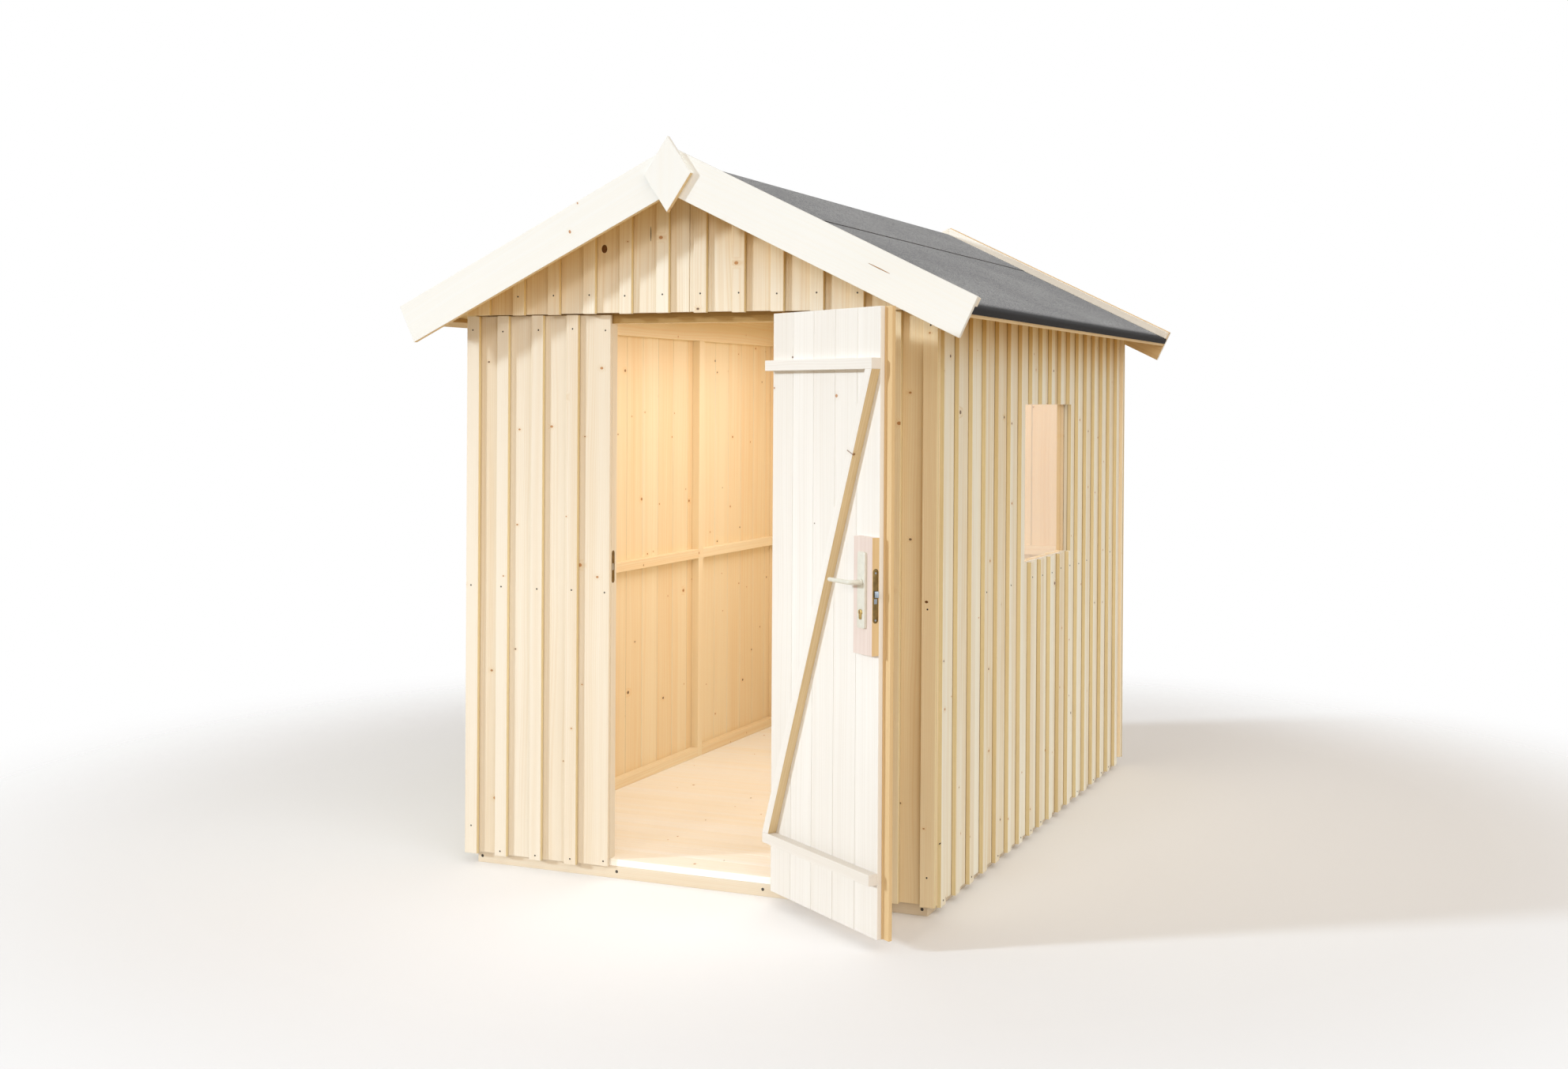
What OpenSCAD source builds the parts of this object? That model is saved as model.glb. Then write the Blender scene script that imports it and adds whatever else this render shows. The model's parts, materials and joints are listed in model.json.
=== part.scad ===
// Wooden garden shed: board-and-batten panels on a joisted floor, a felted gable roof
// with barge boards, a ledged and braced door that opens outwards, and one side window.
// The frame: X to the right, Y to the back, Z up, origin on the ground under the middle
// of the floor. All lengths are in millimetres.

/* [Walls] */
// Width over the front corner battens
wall_w = 1760; // [1560:10:2400]
// Depth over the front and back battens
wall_d = 2600; // [2200:10:3400]
// Height of the boards of the front and back panels
panel_h = 1900; // [1800:10:2200]
// Thickness of a wall board
board_t = 16; // [12:1:22]
// Thickness of a batten
batten_t = 13; // [10:1:18]
// Width of a batten
batten_w = 47; // [36:1:60]
// Distance from one batten to the next
batten_pitch = 140; // [120:1:170]
// Width of the batten at an outer corner
corner_batten_w = 50; // [40:1:65]
// Board that shows between a corner batten and its neighbour
corner_reveal = 74; // [50:1:90]
// Gap between a side wall's boards and the end walls
corner_gap = 3; // [1:0.5:6]
// Board that shows before the first batten of a gable
gable_reveal = 57; // [30:1:80]
// Distance from one batten of a gable to the next
gable_pitch = 141; // [120:1:170]
// Board that shows before the first batten of the front side panels
reveal_front = 33; // [15:1:80]
// Board that shows before the first batten of the middle side panels
reveal_middle = 70; // [15:1:80]
// Board that shows before the first batten of the back side panels
reveal_back = 46; // [15:1:80]
// Board that shows after the last batten of the front side panels
reveal_front_end = 24; // [15:1:80]
// Board that shows after the last batten of the middle side panels
reveal_middle_end = 46; // [15:1:80]
// Board that shows after the last batten of the back side panels
reveal_back_end = 71; // [15:1:80]
// Height of the front and back boards' lower ends over the ground
end_lift = 37; // [25:1:55]
// Height of the side boards' lower ends over the ground
side_lift = 22; // [10:1:40]
// How far the gables stand proud of the panels below them
gable_proud = 18; // [8:1:26]
// Height of the roof's underside at the side walls over the front panels
eave_rise = 55.5; // [40:0.5:90]

/* [Wall frames] */
// Depth of studs and rails
frame_t = 34; // [28:1:50]
// Width of a stud
stud_w = 44; // [34:1:60]
// Height of a bottom or middle rail
rail_h = 40; // [30:1:60]
// Gap between the middle rails and the window's lower stop
sill_gap = 27; // [10:1:80]
// How far the head rails show below the gables
head_show = 30; // [20:1:60]
// Depth of the gable rafters
rafter_h = 40; // [30:1:60]

/* [Floor] */
// Height of a floor beam
beam_h = 42; // [36:1:60]
// Width of a floor beam
beam_w = 58; // [40:1:80]
// Number of beams from front to back
beam_n = 7; // [5:2:9]
// Thickness of the floor boards
deck_t = 24; // [18:1:28]
// Gap between the floor and the wall boards
floor_gap = 5; // [2:1:8]

/* [Door] */
// Distance of the doorway from the left corner
door_from_left = 570; // [500:5:640]
// Width of the doorway
door_w = 640; // [580:5:700]
// Gap at each edge of the leaf
door_gap = 7; // [6:0.5:10]
// Gap over the leaf
door_top_gap = 6; // [5:1:12]
// Angle of the door as it stands open
door_open = 145; // [90:1:165]
// Height of a ledge
ledge_h = 34; // [28:1:60]
// Thickness of the ledges and the brace
ledge_t = 32; // [24:1:36]
// Height of the lower ledge over the leaf's lower end
ledge_low = 165; // [120:5:260]
// Drop of the upper ledge below the leaf's upper end
ledge_high = 154; // [100:5:260]
// Width of the cover strip at the latch edge
cover_w = 50; // [44:1:54]
// How far the cover strip laps over the doorway's edge
cover_lip = 30; // [20:1:34]
// Clearance behind the cover strip's lip
cover_clear = 5; // [5:0.5:8]
// Board that shows between the leaf's latch edge and its first batten
leaf_reveal = 118; // [100:1:125]

/* [Hinges] */
// Diameter of a hinge knuckle
knuckle_d = 13; // [11:0.5:14]
// Height of one half of a hinge
knuckle_h = 30; // [24:1:40]
// Length of a hinge plate
hinge_plate_l = 38; // [30:1:39]
// Thickness of a hinge plate
hinge_plate_t = 3; // [2:0.5:4]
// Diameter of a hinge pin
hinge_pin_d = 6; // [5:0.5:7]
// Running clearance round a hinge pin
pin_clear = 0.1; // [0.05:0.01:0.15]

/* [Lock] */
// Width of the lock block
block_w = 100; // [90:1:110]
// Height of the lock block
block_h = 353; // [300:1:400]
// Thickness of the lock block
block_t = 25; // [22:1:32]
// Height of the lever's spindle over the leaf's lower end
spindle_up = 1068; // [1030:1:1100]
// Reach of the lock block below the spindle
block_under = 218; // [190:1:240]
// Distance of the spindle from the latch edge
backset = 49; // [48:0.5:52]
// Diameter of the spindle
spindle_d = 9; // [8:0.5:10]
// Drop of the key cylinder below the spindle
cylinder_drop = 90; // [72:1:92]
// Diameter of the key cylinder
cylinder_d = 17; // [16:0.5:18]
// Drop of the latch bolt below the spindle
latch_drop = 34; // [26:1:40]
// Height of the latch bolt
latch_h = 19; // [15:1:22]
// Thickness of the latch bolt
latch_t = 10; // [8:0.5:11]
// How far the latch bolt stands out
latch_out = 11; // [9:0.5:13]
// How far the lever draws the latch bolt back
latch_throw = 10; // [8:0.5:12]
// Length of the lock's edge plate
edge_plate_h = 163; // [150:1:180]
// Width of the lock's edge plate and of the strike plate
edge_plate_w = 20; // [18:0.5:22]
// Thickness of the edge plate and the strike plate
edge_plate_t = 2; // [1.5:0.5:3]
// Length of the strike plate
strike_h = 112; // [90:1:140]
// Room round the latch bolt in the strike plate
strike_clear = 2.5; // [2:0.5:3.5]

/* [Lever handle] */
// Width of a handle plate
plate_w = 40; // [34:1:42]
// Length of a handle plate
plate_h = 230; // [210:1:250]
// Thickness of a handle plate
plate_t = 5; // [3:0.5:7]
// How far a lever stands off its plate
lever_stand = 46; // [38:1:55]
// Length of a lever from its spindle
lever_l = 124; // [100:1:140]
// Diameter of a lever's neck
lever_neck_d = 18; // [15:0.5:20]
// Diameter of a lever's tip
lever_tip_d = 13; // [10:0.5:15]
// Thickness of a lever's arm
lever_t = 11; // [8:0.5:14]

/* [Window] */
// Height of the sill over the ground
win_sill = 1047; // [950:1:1150]
// Drop of the window's upper edge below the wall plate
win_head = 270; // [180:5:400]
// Gap between the window's stops and the stud nearer the front
win_near_gap = 63; // [5:1:160]
// Gap between the window's stops and the stud nearer the back
win_far_gap = 11; // [5:1:160]
// Thickness of the pane
pane_t = 4; // [3:0.5:6]
// How far the pane laps behind the boards
pane_lap = 20; // [12:1:28]
// Width of the stops that hold the pane
stop_w = 35; // [30:1:38]

/* [Roof] */
// Pitch of the roof in degrees
roof_pitch = 25.7; // [20:0.1:32]
// Thickness of the roof boards
roof_t = 18; // [16:1:22]
// Level overhang of the roof boards past a side wall
eave_over = 160; // [120:5:220]
// Overhang of the barge boards past the front and back walls
verge_over = 150; // [110:5:220]
// Thickness of a sheet of felt
felt_t = 3; // [2:0.5:4]
// Length of felt folded down at the eaves
felt_fold = 20; // [18:1:30]
// Reach of the ridge sheet down each slope
felt_lap = 414; // [300:2:520]
// Width of an eave batten
eave_batten_w = 40; // [30:1:60]
// Thickness of an eave batten
eave_batten_t = 16; // [12:1:24]
// Width of a verge batten
verge_w = 32; // [24:1:40]
// Height of a verge batten
verge_h = 30; // [20:1:34]
// Width of a barge board
barge_w = 140; // [120:1:170]
// Thickness of a barge board
barge_t = 18; // [15:1:24]
// How far the barge boards stand over the felt
barge_up = 34; // [30:1:50]
// How far the barge boards reach past the roof's lower edge
barge_past = 3; // [0:1:20]
// Half the width of the rhombus on the barge boards' peak
peak_half_w = 86; // [60:1:110]
// Half the height of the rhombus
peak_half_h = 125; // [95:1:150]
// Drop of the rhombus's middle below the barge boards' peak
peak_drop = 93; // [70:1:110]
// Thickness of the rhombus
peak_t = 18; // [12:1:24]
// Width of the ridge beam
ridge_w = 44; // [34:1:60]
// Height of the ridge beam
ridge_h = 95; // [70:1:120]

/* [Fits] */
// Joint between pieces that seat on one another
seat = 0.3; // [0.1:0.1:0.5]
// Running clearance round a spindle, cylinder or bolt
slip = 0.3; // [0.2:0.05:0.5]

/* [Hidden] */

$fn = 48;
CREAM = [0.97, 0.92, 0.82];
PALE = [0.98, 0.95, 0.88];
TAN = [0.88, 0.76, 0.56];
HONEY = [0.93, 0.78, 0.54];
PINKISH = [0.95, 0.88, 0.82];
FELT = [0.50, 0.51, 0.52];
STEEL = [0.72, 0.73, 0.75];
BRONZE = [0.52, 0.42, 0.22];
IVORY = [0.93, 0.90, 0.80];
CLEAR = [0.80, 0.88, 0.90, 0.35];

// Walls: the outer faces are those of the battens, the inner ones those of the boards
clad_t = board_t + batten_t;
x_out = wall_w / 2;
y_out = wall_d / 2;
x_in = x_out - clad_t;
y_in = y_out - clad_t;
x_room = x_in - frame_t;
y_room = y_in - frame_t;
y_board = y_in + board_t;
panel_top = end_lift + panel_h;
deck_top = beam_h + deck_t;
stud_top = panel_top - head_show;
y_side = y_in - corner_gap;
side_l = 2 * y_side / 3;
gable_back = y_in + gable_proud;

// Roof: heights on the middle plane, and the underside over any x
tan_p = tan(roof_pitch);
cos_p = cos(roof_pitch);
sin_p = sin(roof_pitch);
ridge_under = panel_top + eave_rise + x_out * tan_p;
ridge_top = ridge_under + roof_t / cos_p;
function under(x) = ridge_under - abs(x) * tan_p;
roof_l = (x_out + eave_over) / cos_p;
verge_y = y_out + verge_over - barge_t;
barge_n = felt_t + barge_up;
barge_peak = ridge_top + barge_n / cos_p;
barge_l = roof_l + barge_past;
rafter_drop = rafter_h / cos_p;
head_top = under(x_room - seat) - rafter_drop - 2 * seat;

// Point on the right slope: s down the slope from the ridge, n out of the roof boards
function slope_point(s, n) = [s * cos_p + n * sin_p, ridge_top - s * sin_p + n * cos_p];
function ridge_point(n) = [0, ridge_top + n / cos_p];
function mirrored(p) = [-p[0], p[1]];

// Door: drawn shut, then turned open about the hinges
door_x0 = door_from_left - x_out;
door_x1 = door_x0 + door_w;
leaf_x0 = door_x0 + door_gap;
leaf_x1 = door_x1 - door_gap;
leaf_w = leaf_x1 - leaf_x0;
leaf_z0 = end_lift;
leaf_z1 = panel_top - door_top_gap;
hinge_x = door_x1 - door_gap / 2;
hinge_y = -y_board - hinge_plate_t - knuckle_d / 2 + hinge_plate_t / 2 + 0.5;
ledge_z0 = leaf_z0 + ledge_low;
ledge_z1 = leaf_z1 - ledge_high - ledge_h;
hinge_zs = [ledge_z0 + ledge_h / 2, ledge_z1 + ledge_h / 2];
block_y = -y_in + block_t;
lock_x = leaf_x0 + backset;
lock_y = -y_in + block_t / 2;
spindle_z = leaf_z0 + spindle_up;
block_z = spindle_z - block_under;
cylinder_z = spindle_z - cylinder_drop;
latch_z = spindle_z - latch_drop;
plate_z = (spindle_z + cylinder_z) / 2 + 21;
latch_l = backset - spindle_d / 2 - slip - 2;
cylinder_past = 4;
pin_reach = 26;

// Window: it fills its bay between two studs, under the wall plate and over a rail
win_y0 = -side_l / 2 + stud_w / 2 + win_near_gap + stop_w;
win_y1 = side_l / 2 - stud_w / 2 - win_far_gap - stop_w;
win_z1 = stud_top - win_head;
mid_rail_z = win_sill - stop_w - sill_gap - rail_h;

// Starts of the battens along a panel of length l
function even_starts(l, first, end) =
    let (n = round((l - first - end - batten_w) / batten_pitch), pitch = (l - first - end - batten_w) / n)
    [for (k = [0 : n]) first + k * pitch];
function run_starts(l, first, last_gap) =
    [for (s = [first : batten_pitch : l - batten_w - last_gap]) s];
function corner_starts(l) = run_starts(l, corner_batten_w + corner_reveal, batten_w);

// Boards along +X with their inner face on Y = 0, and battens on the side of -Y
module cladding(l, h, starts, corner_w = 0) {
    linear_extrude(h) {
        translate([0, -board_t])
            square([l, board_t]);
        for (s = starts)
            translate([s, -clad_t])
                square([batten_w, clad_t]);
        if (corner_w > 0)
            translate([0, -clad_t])
                square([corner_w, clad_t]);
    }
}

// A bar from the corner a to the corner b
module bar(a, b) {
    translate(a)
        cube(b - a);
}

// An outline in X and Z, drawn out along Y
module profile(points, y0, y1) {
    translate([0, y1, 0])
        rotate([90, 0, 0])
            linear_extrude(y1 - y0)
                polygon(points);
}

module both_sides() {
    children();
    mirror([1, 0, 0])
        children();
}

module both_ends() {
    children();
    mirror([0, 1, 0])
        children();
}

module round_y(d, x, z, y0, y1) {
    translate([x, y1, z])
        rotate([90, 0, 0])
            cylinder(d = d, h = y1 - y0);
}

// Floor
module floor_frame() {
    fx = x_in - floor_gap;
    fy = y_in - floor_gap;
    step = (2 * fx - beam_w) / (beam_n - 1);
    color(TAN) {
        for (k = [0 : beam_n - 1])
            bar([-fx + k * step, -fy, 0], [-fx + k * step + beam_w, fy, beam_h]);
        both_ends()
            bar([-fx, -fy, 0], [fx, -fy + beam_w, beam_h]);
    }
}

module floor_deck() {
    color(HONEY)
        bar([-x_in + floor_gap, -y_in + floor_gap, beam_h], [x_in - floor_gap, y_in - floor_gap, deck_top]);
}

// Front and back walls
module front_panel_left() {
    l = door_from_left;
    color(CREAM)
        translate([-x_out, -y_in, end_lift])
            cladding(l, panel_h, corner_starts(l), corner_batten_w);
}

module front_panel_right() {
    l = x_out - door_x1;
    color(CREAM)
        translate([x_out, -y_in, end_lift])
            mirror([1, 0, 0])
                cladding(l, panel_h, corner_starts(l), corner_batten_w);
}

module back_panel_left() {
    l = x_out - seat / 2;
    color(CREAM)
        translate([-x_out, y_in, end_lift])
            mirror([0, 1, 0])
                cladding(l, panel_h, corner_starts(l), corner_batten_w);
}

module back_panel_right() {
    mirror([1, 0, 0])
        back_panel_left();
}

module gable() {
    n = floor((wall_w - gable_reveal - batten_w) / gable_pitch);
    outline = [[-x_out, panel_top], [x_out, panel_top], [x_out, under(x_out) - seat],
        [0, ridge_under - seat], [-x_out, under(x_out) - seat]];
    intersection() {
        profile(outline, -gable_back - clad_t, -gable_back);
        union() {
            bar([-x_out, -gable_back - board_t, panel_top], [x_out, -gable_back, ridge_under]);
            for (k = [0 : n])
                translate([-x_out + gable_reveal + k * gable_pitch, -gable_back - clad_t, panel_top])
                    cube([batten_w, clad_t, ridge_under - panel_top]);
        }
    }
}

module front_gable() {
    color(CREAM)
        gable();
}

module back_gable() {
    color(CREAM)
        mirror([0, 1, 0])
            gable();
}

// Frame of the end walls: studs from the floor to the head rail
module end_stud(x) {
    bar([x, -y_in, deck_top], [x + stud_w, -y_room, stud_top]);
}

module end_rail(x0, x1, z) {
    bar([x0, -y_in, z], [x1, -y_room, z + rail_h]);
}

module head_rail() {
    bar([-x_room, -y_in + floor_gap, stud_top], [x_room, -y_room, head_top]);
}

module front_studs() {
    color(CREAM) {
        end_stud(-x_room);
        difference() {
            end_stud(door_x0 - stud_w);
            strike_recess();
        }
        end_stud(door_x1);
        end_stud(x_room - stud_w);
    }
}

module front_rails() {
    color(HONEY) {
        for (z = [deck_top, mid_rail_z]) {
            end_rail(-x_room + stud_w, door_x0 - stud_w, z);
            end_rail(door_x1 + stud_w, x_room - stud_w, z);
        }
        head_rail();
    }
}

module back_studs() {
    color(HONEY)
        mirror([0, 1, 0]) {
            end_stud(-x_room);
            end_stud(-stud_w / 2);
            end_stud(x_room - stud_w);
        }
}

module back_rails() {
    color(HONEY)
        mirror([0, 1, 0]) {
            for (z = [deck_top, mid_rail_z])
                both_sides()
                    end_rail(stud_w / 2, x_room - stud_w, z);
            head_rail();
        }
}

// Strike plate let into the jamb, with room for the latch bolt behind it
module edge_outline(l) {
    r = edge_plate_w / 2;
    square([edge_plate_w, l - 2 * r], center = true);
    for (z = [-1, 1])
        translate([0, z * (l / 2 - r)])
            circle(r);
}

module edge_plate(x, z, l, t) {
    translate([x, lock_y, z])
        rotate([90, 0, 90])
            linear_extrude(t)
                edge_outline(l);
}

module latch_window(x0, x1, room) {
    translate([x0, lock_y - latch_t / 2 - room, latch_z - latch_h / 2 - room])
        cube([x1 - x0, latch_t + 2 * room, latch_h + 2 * room]);
}

module strike_recess() {
    edge_plate(door_x0 - edge_plate_t, latch_z, strike_h, edge_plate_t + 1);
    latch_window(door_x0 - 2 * latch_out, door_x0 + 1, strike_clear);
}

module strike_plate() {
    color(BRONZE)
        difference() {
            edge_plate(door_x0 - edge_plate_t, latch_z, strike_h, edge_plate_t);
            latch_window(door_x0 - 2 * latch_out, door_x0 + 1, strike_clear);
        }
}

// Side walls, drawn on the right: three panels from front to back
module side_panel(n) {
    reveal = [reveal_front, reveal_middle, reveal_back][n];
    reveal_end = [reveal_front_end, reveal_middle_end, reveal_back_end][n];
    l = side_l - seat;
    z1 = under(x_out) - 1;
    translate([x_in, -y_side + n * side_l + seat / 2, side_lift])
        rotate([0, 0, 90])
            cladding(l, z1 - side_lift, even_starts(l, reveal, reveal_end));
}

module right_panel_front() {
    color(CREAM)
        side_panel(0);
}

// The window panel: whole boards beside the opening, short ones under and over it
module right_panel_middle() {
    past = 1;
    cut_x0 = x_in - past;
    cut_x1 = x_out + past;
    z_top = ridge_under;
    color(CREAM)
        difference() {
            side_panel(1);
            bar([cut_x0, win_y0, win_sill], [cut_x1, win_y1, win_z1]);
            for (y = [win_y0, win_y1])
                bar([cut_x0, y - seat / 2, 0], [cut_x1, y + seat / 2, z_top]);
        }
}

module right_panel_back() {
    color(CREAM)
        side_panel(2);
}

module left_panel_front() {
    mirror([1, 0, 0])
        right_panel_front();
}

module left_panel_middle() {
    color(CREAM)
        mirror([1, 0, 0])
            side_panel(1);
}

module left_panel_back() {
    mirror([1, 0, 0])
        right_panel_back();
}

// Lower corner of each stud of a side wall, along Y
stud_ys = [-y_in, -side_l / 2 - stud_w / 2, side_l / 2 - stud_w / 2, y_in - stud_w];

module side_studs() {
    color(HONEY)
        for (y = stud_ys)
            bar([x_room, y, deck_top], [x_in, y + stud_w, stud_top]);
}

module side_rails() {
    color(HONEY) {
        for (k = [0 : len(stud_ys) - 2], z = [deck_top, mid_rail_z])
            bar([x_room, stud_ys[k] + stud_w, z], [x_in, stud_ys[k + 1], z + rail_h]);
        profile([[x_room, stud_top], [x_in, stud_top], [x_in, under(x_in) - seat],
            [x_room, under(x_room) - seat]], -y_in, y_in);
    }
}

module right_studs() {
    side_studs();
}

module right_rails() {
    side_rails();
}

module left_studs() {
    mirror([1, 0, 0])
        side_studs();
}

module left_rails() {
    mirror([1, 0, 0])
        side_rails();
}

// Window: a pane held against the boards by four stops
module window_pane() {
    color(CLEAR)
        bar([x_in - pane_t, win_y0 - pane_lap, win_sill - pane_lap], [x_in, win_y1 + pane_lap, win_z1 + pane_lap]);
}

module window_stops() {
    x0 = x_room;
    x1 = x_in - pane_t;
    color(HONEY) {
        for (y = [win_y0 - stop_w, win_y1])
            bar([x0, y, win_sill - stop_w], [x1, y + stop_w, win_z1 + stop_w]);
        for (z = [win_sill - stop_w, win_z1])
            bar([x0, win_y0 + seat, z], [x1, win_y1 - seat, z + stop_w]);
    }
}

// Roof carcass
module gable_rafters() {
    x0 = ridge_w / 2 + seat;
    x1 = x_room - seat;
    outline = [[x0, under(x0) - seat], [x1, under(x1) - seat], [x1, under(x1) - seat - rafter_drop],
        [x0, under(x0) - seat - rafter_drop]];
    color(HONEY)
        both_ends()
            both_sides()
                profile(outline, -gable_back, -gable_back + frame_t);
}

module ridge_beam() {
    x = ridge_w / 2;
    z0 = ridge_under - ridge_h;
    y = gable_back;
    color(HONEY)
        profile([[-x, z0], [x, z0], [x, under(x) - seat], [0, ridge_under - seat], [-x, under(x) - seat]], -y, y);
}

module right_roof_boards() {
    profile([ridge_point(0), slope_point(roof_l, 0), slope_point(roof_l, -roof_t), ridge_point(-roof_t)],
        -verge_y, verge_y);
}

module roof_boards_right() {
    color(TAN)
        right_roof_boards();
}

module roof_boards_left() {
    color(TAN)
        mirror([1, 0, 0])
            right_roof_boards();
}

module eave_battens() {
    s0 = roof_l - eave_batten_w;
    n1 = -roof_t - seat;
    n0 = n1 - eave_batten_t;
    color(TAN)
        both_sides()
            profile([slope_point(s0, n1), slope_point(roof_l, n1), slope_point(roof_l, n0), slope_point(s0, n0)],
                -verge_y, verge_y);
}

// Felt: a sheet on each slope, folded down at the eaves, and a sheet over the ridge
module right_felt() {
    s = roof_l + felt_t;
    profile([ridge_point(0), slope_point(roof_l, 0), slope_point(roof_l, -felt_fold), slope_point(s, -felt_fold),
        slope_point(s, felt_t), ridge_point(felt_t)], -verge_y, verge_y);
}

module felt_right() {
    color(FELT)
        right_felt();
}

module felt_left() {
    color(FELT)
        mirror([1, 0, 0])
            right_felt();
}

module felt_ridge() {
    y = verge_y - verge_w - seat;
    n0 = felt_t + seat;
    n1 = n0 + felt_t;
    low = slope_point(felt_lap, n0);
    high = slope_point(felt_lap, n1);
    color(FELT)
        profile([low, high, ridge_point(n1), mirrored(high), mirrored(low), ridge_point(n0)], -y, y);
}

// Verge: battens on the felt, barge boards in front of them, a rhombus on the peak
module verge_battens() {
    n1 = felt_t + verge_h;
    gap = [seat / 2, 0];
    color(PALE)
        both_ends()
            both_sides()
                profile([ridge_point(felt_t) + gap, slope_point(roof_l, felt_t), slope_point(roof_l, n1),
                    ridge_point(n1) + gap], -verge_y, -verge_y + verge_w);
}

module barge_boards() {
    n0 = barge_n - barge_w;
    gap = [seat / 2, 0];
    color(PALE)
        both_sides()
            profile([ridge_point(barge_n) + gap, slope_point(barge_l, barge_n), slope_point(barge_l, n0),
                ridge_point(n0) + gap], -verge_y - barge_t, -verge_y);
}

module barge_boards_front() {
    barge_boards();
}

module barge_boards_back() {
    mirror([0, 1, 0])
        barge_boards();
}

module peak_cover() {
    z = barge_peak - peak_drop;
    y = -verge_y - barge_t;
    color(PALE)
        profile([[0, z - peak_half_h], [peak_half_w, z], [0, z + peak_half_h], [-peak_half_w, z]], y - peak_t, y);
}

// Door: everything below is drawn shut and turned open by this module
module as_opened() {
    translate([hinge_x, hinge_y, 0])
        rotate([0, 0, door_open])
            translate([-hinge_x, -hinge_y, 0])
                children();
}

module lock_bores() {
    round_y(spindle_d + 2 * slip, lock_x, spindle_z, -y_out - plate_t, -y_room);
    round_y(cylinder_d + 2 * slip, lock_x, cylinder_z, -y_out - plate_t, -y_room);
}

module door_leaf() {
    starts = run_starts(leaf_w, leaf_reveal, hinge_plate_l);
    color(PALE)
        as_opened()
            difference() {
                translate([leaf_x0, -y_in, leaf_z0])
                    cladding(leaf_w, leaf_z1 - leaf_z0, starts);
                lock_bores();
            }
}

// Strip on the latch edge, with a rebated lip that laps over the doorway's edge
module door_cover_strip() {
    x0 = leaf_x0 - cover_lip;
    x1 = x0 + cover_w;
    y0 = -y_out - cover_clear;
    y1 = -y_board;
    color(CREAM)
        as_opened()
            translate([0, 0, leaf_z0])
                linear_extrude(leaf_z1 - leaf_z0)
                    polygon([[x0, y0], [x1, y0], [x1, y1], [leaf_x0, y1], [leaf_x0, y1 - cover_clear],
                        [x0, y1 - cover_clear]]);
}

module door_ledges() {
    color(PALE)
        as_opened()
            for (z = [ledge_z0, ledge_z1])
                bar([leaf_x0, -y_in, z], [leaf_x1, -y_in + ledge_t, z + ledge_h]);
}

// Brace from the lower ledge's hinge end to the upper ledge's latch end
module door_brace() {
    z0 = ledge_z0 + ledge_h;
    z1 = ledge_z1;
    lean = atan(leaf_w / (z1 - z0));
    w = ledge_h / cos(lean);
    color(PALE)
        as_opened()
            profile([[leaf_x1 - w, z0], [leaf_x1, z0], [leaf_x0 + w, z1], [leaf_x0, z1]], -y_in, -y_in + ledge_t);
}

module lock_block() {
    color(PINKISH)
        as_opened()
            difference() {
                bar([leaf_x0, -y_in, block_z], [leaf_x0 + block_w, block_y, block_z + block_h]);
                lock_bores();
                edge_plate(leaf_x0 - 1, lock_plate_z(), edge_plate_h, edge_plate_t + 1);
                latch_window(leaf_x0 - 1, leaf_x0 + latch_l, slip);
            }
}

function lock_plate_z() = latch_z - 5;

module lock_edge_plate() {
    color(BRONZE)
        as_opened()
            difference() {
                edge_plate(leaf_x0, lock_plate_z(), edge_plate_h, edge_plate_t);
                latch_window(leaf_x0 - 1, leaf_x0 + latch_l, slip);
            }
}

// Latch bolt with its nose bevelled on the side that meets the strike plate
module latch_bolt() {
    x0 = leaf_x0 - latch_out;
    x1 = leaf_x0 + latch_l - latch_throw - slip;
    y0 = lock_y - latch_t / 2;
    y1 = lock_y + latch_t / 2;
    nose = latch_t * 0.7;
    color(STEEL)
        as_opened()
            translate([0, 0, latch_z - latch_h / 2])
                linear_extrude(latch_h)
                    polygon([[x0, y0], [x1, y0], [x1, y1], [x0 + nose, y1], [x0, y1 - nose]]);
}

module handle_plate(y0) {
    r = 4;
    difference() {
        translate([lock_x, y0 + plate_t, plate_z])
            rotate([90, 0, 0])
                linear_extrude(plate_t) {
                    square([plate_w, plate_h - 2 * r], center = true);
                    square([plate_w - 2 * r, plate_h], center = true);
                    for (x = [-1, 1], z = [-1, 1])
                        translate([x * (plate_w / 2 - r), z * (plate_h / 2 - r)])
                            circle(r);
                }
        lock_bores();
    }
}

module handle_plates() {
    color(IVORY)
        as_opened() {
            handle_plate(block_y);
            handle_plate(-y_board - plate_t);
        }
}

module key_cylinder() {
    color(STEEL)
        as_opened()
            round_y(cylinder_d, lock_x, cylinder_z, -y_board - plate_t - cylinder_past,
                block_y + plate_t + cylinder_past);
}

// Arm of a lever in the plane of the door, from its neck towards the hinges
module lever_arm(y0) {
    translate([lock_x, y0 + lever_t, spindle_z])
        rotate([90, 0, 0])
            linear_extrude(lever_t) {
                circle(d = lever_neck_d);
                translate([lever_l - lever_tip_d / 2, 0])
                    circle(d = lever_tip_d);
                polygon([[0, -lever_neck_d / 2], [lever_l - lever_tip_d / 2, -lever_tip_d / 2],
                    [lever_l - lever_tip_d / 2, lever_tip_d / 2], [0, lever_neck_d / 2]]);
            }
}

module door_lever() {
    inner = block_y + plate_t + slip;
    outer = -y_board - plate_t - slip;
    color(IVORY)
        as_opened() {
            round_y(spindle_d, lock_x, spindle_z, outer, inner);
            round_y(lever_neck_d, lock_x, spindle_z, inner, inner + lever_stand);
            round_y(lever_neck_d, lock_x, spindle_z, outer - lever_stand, outer);
            lever_arm(inner + lever_stand - lever_t);
            lever_arm(outer - lever_stand);
        }
}

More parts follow.
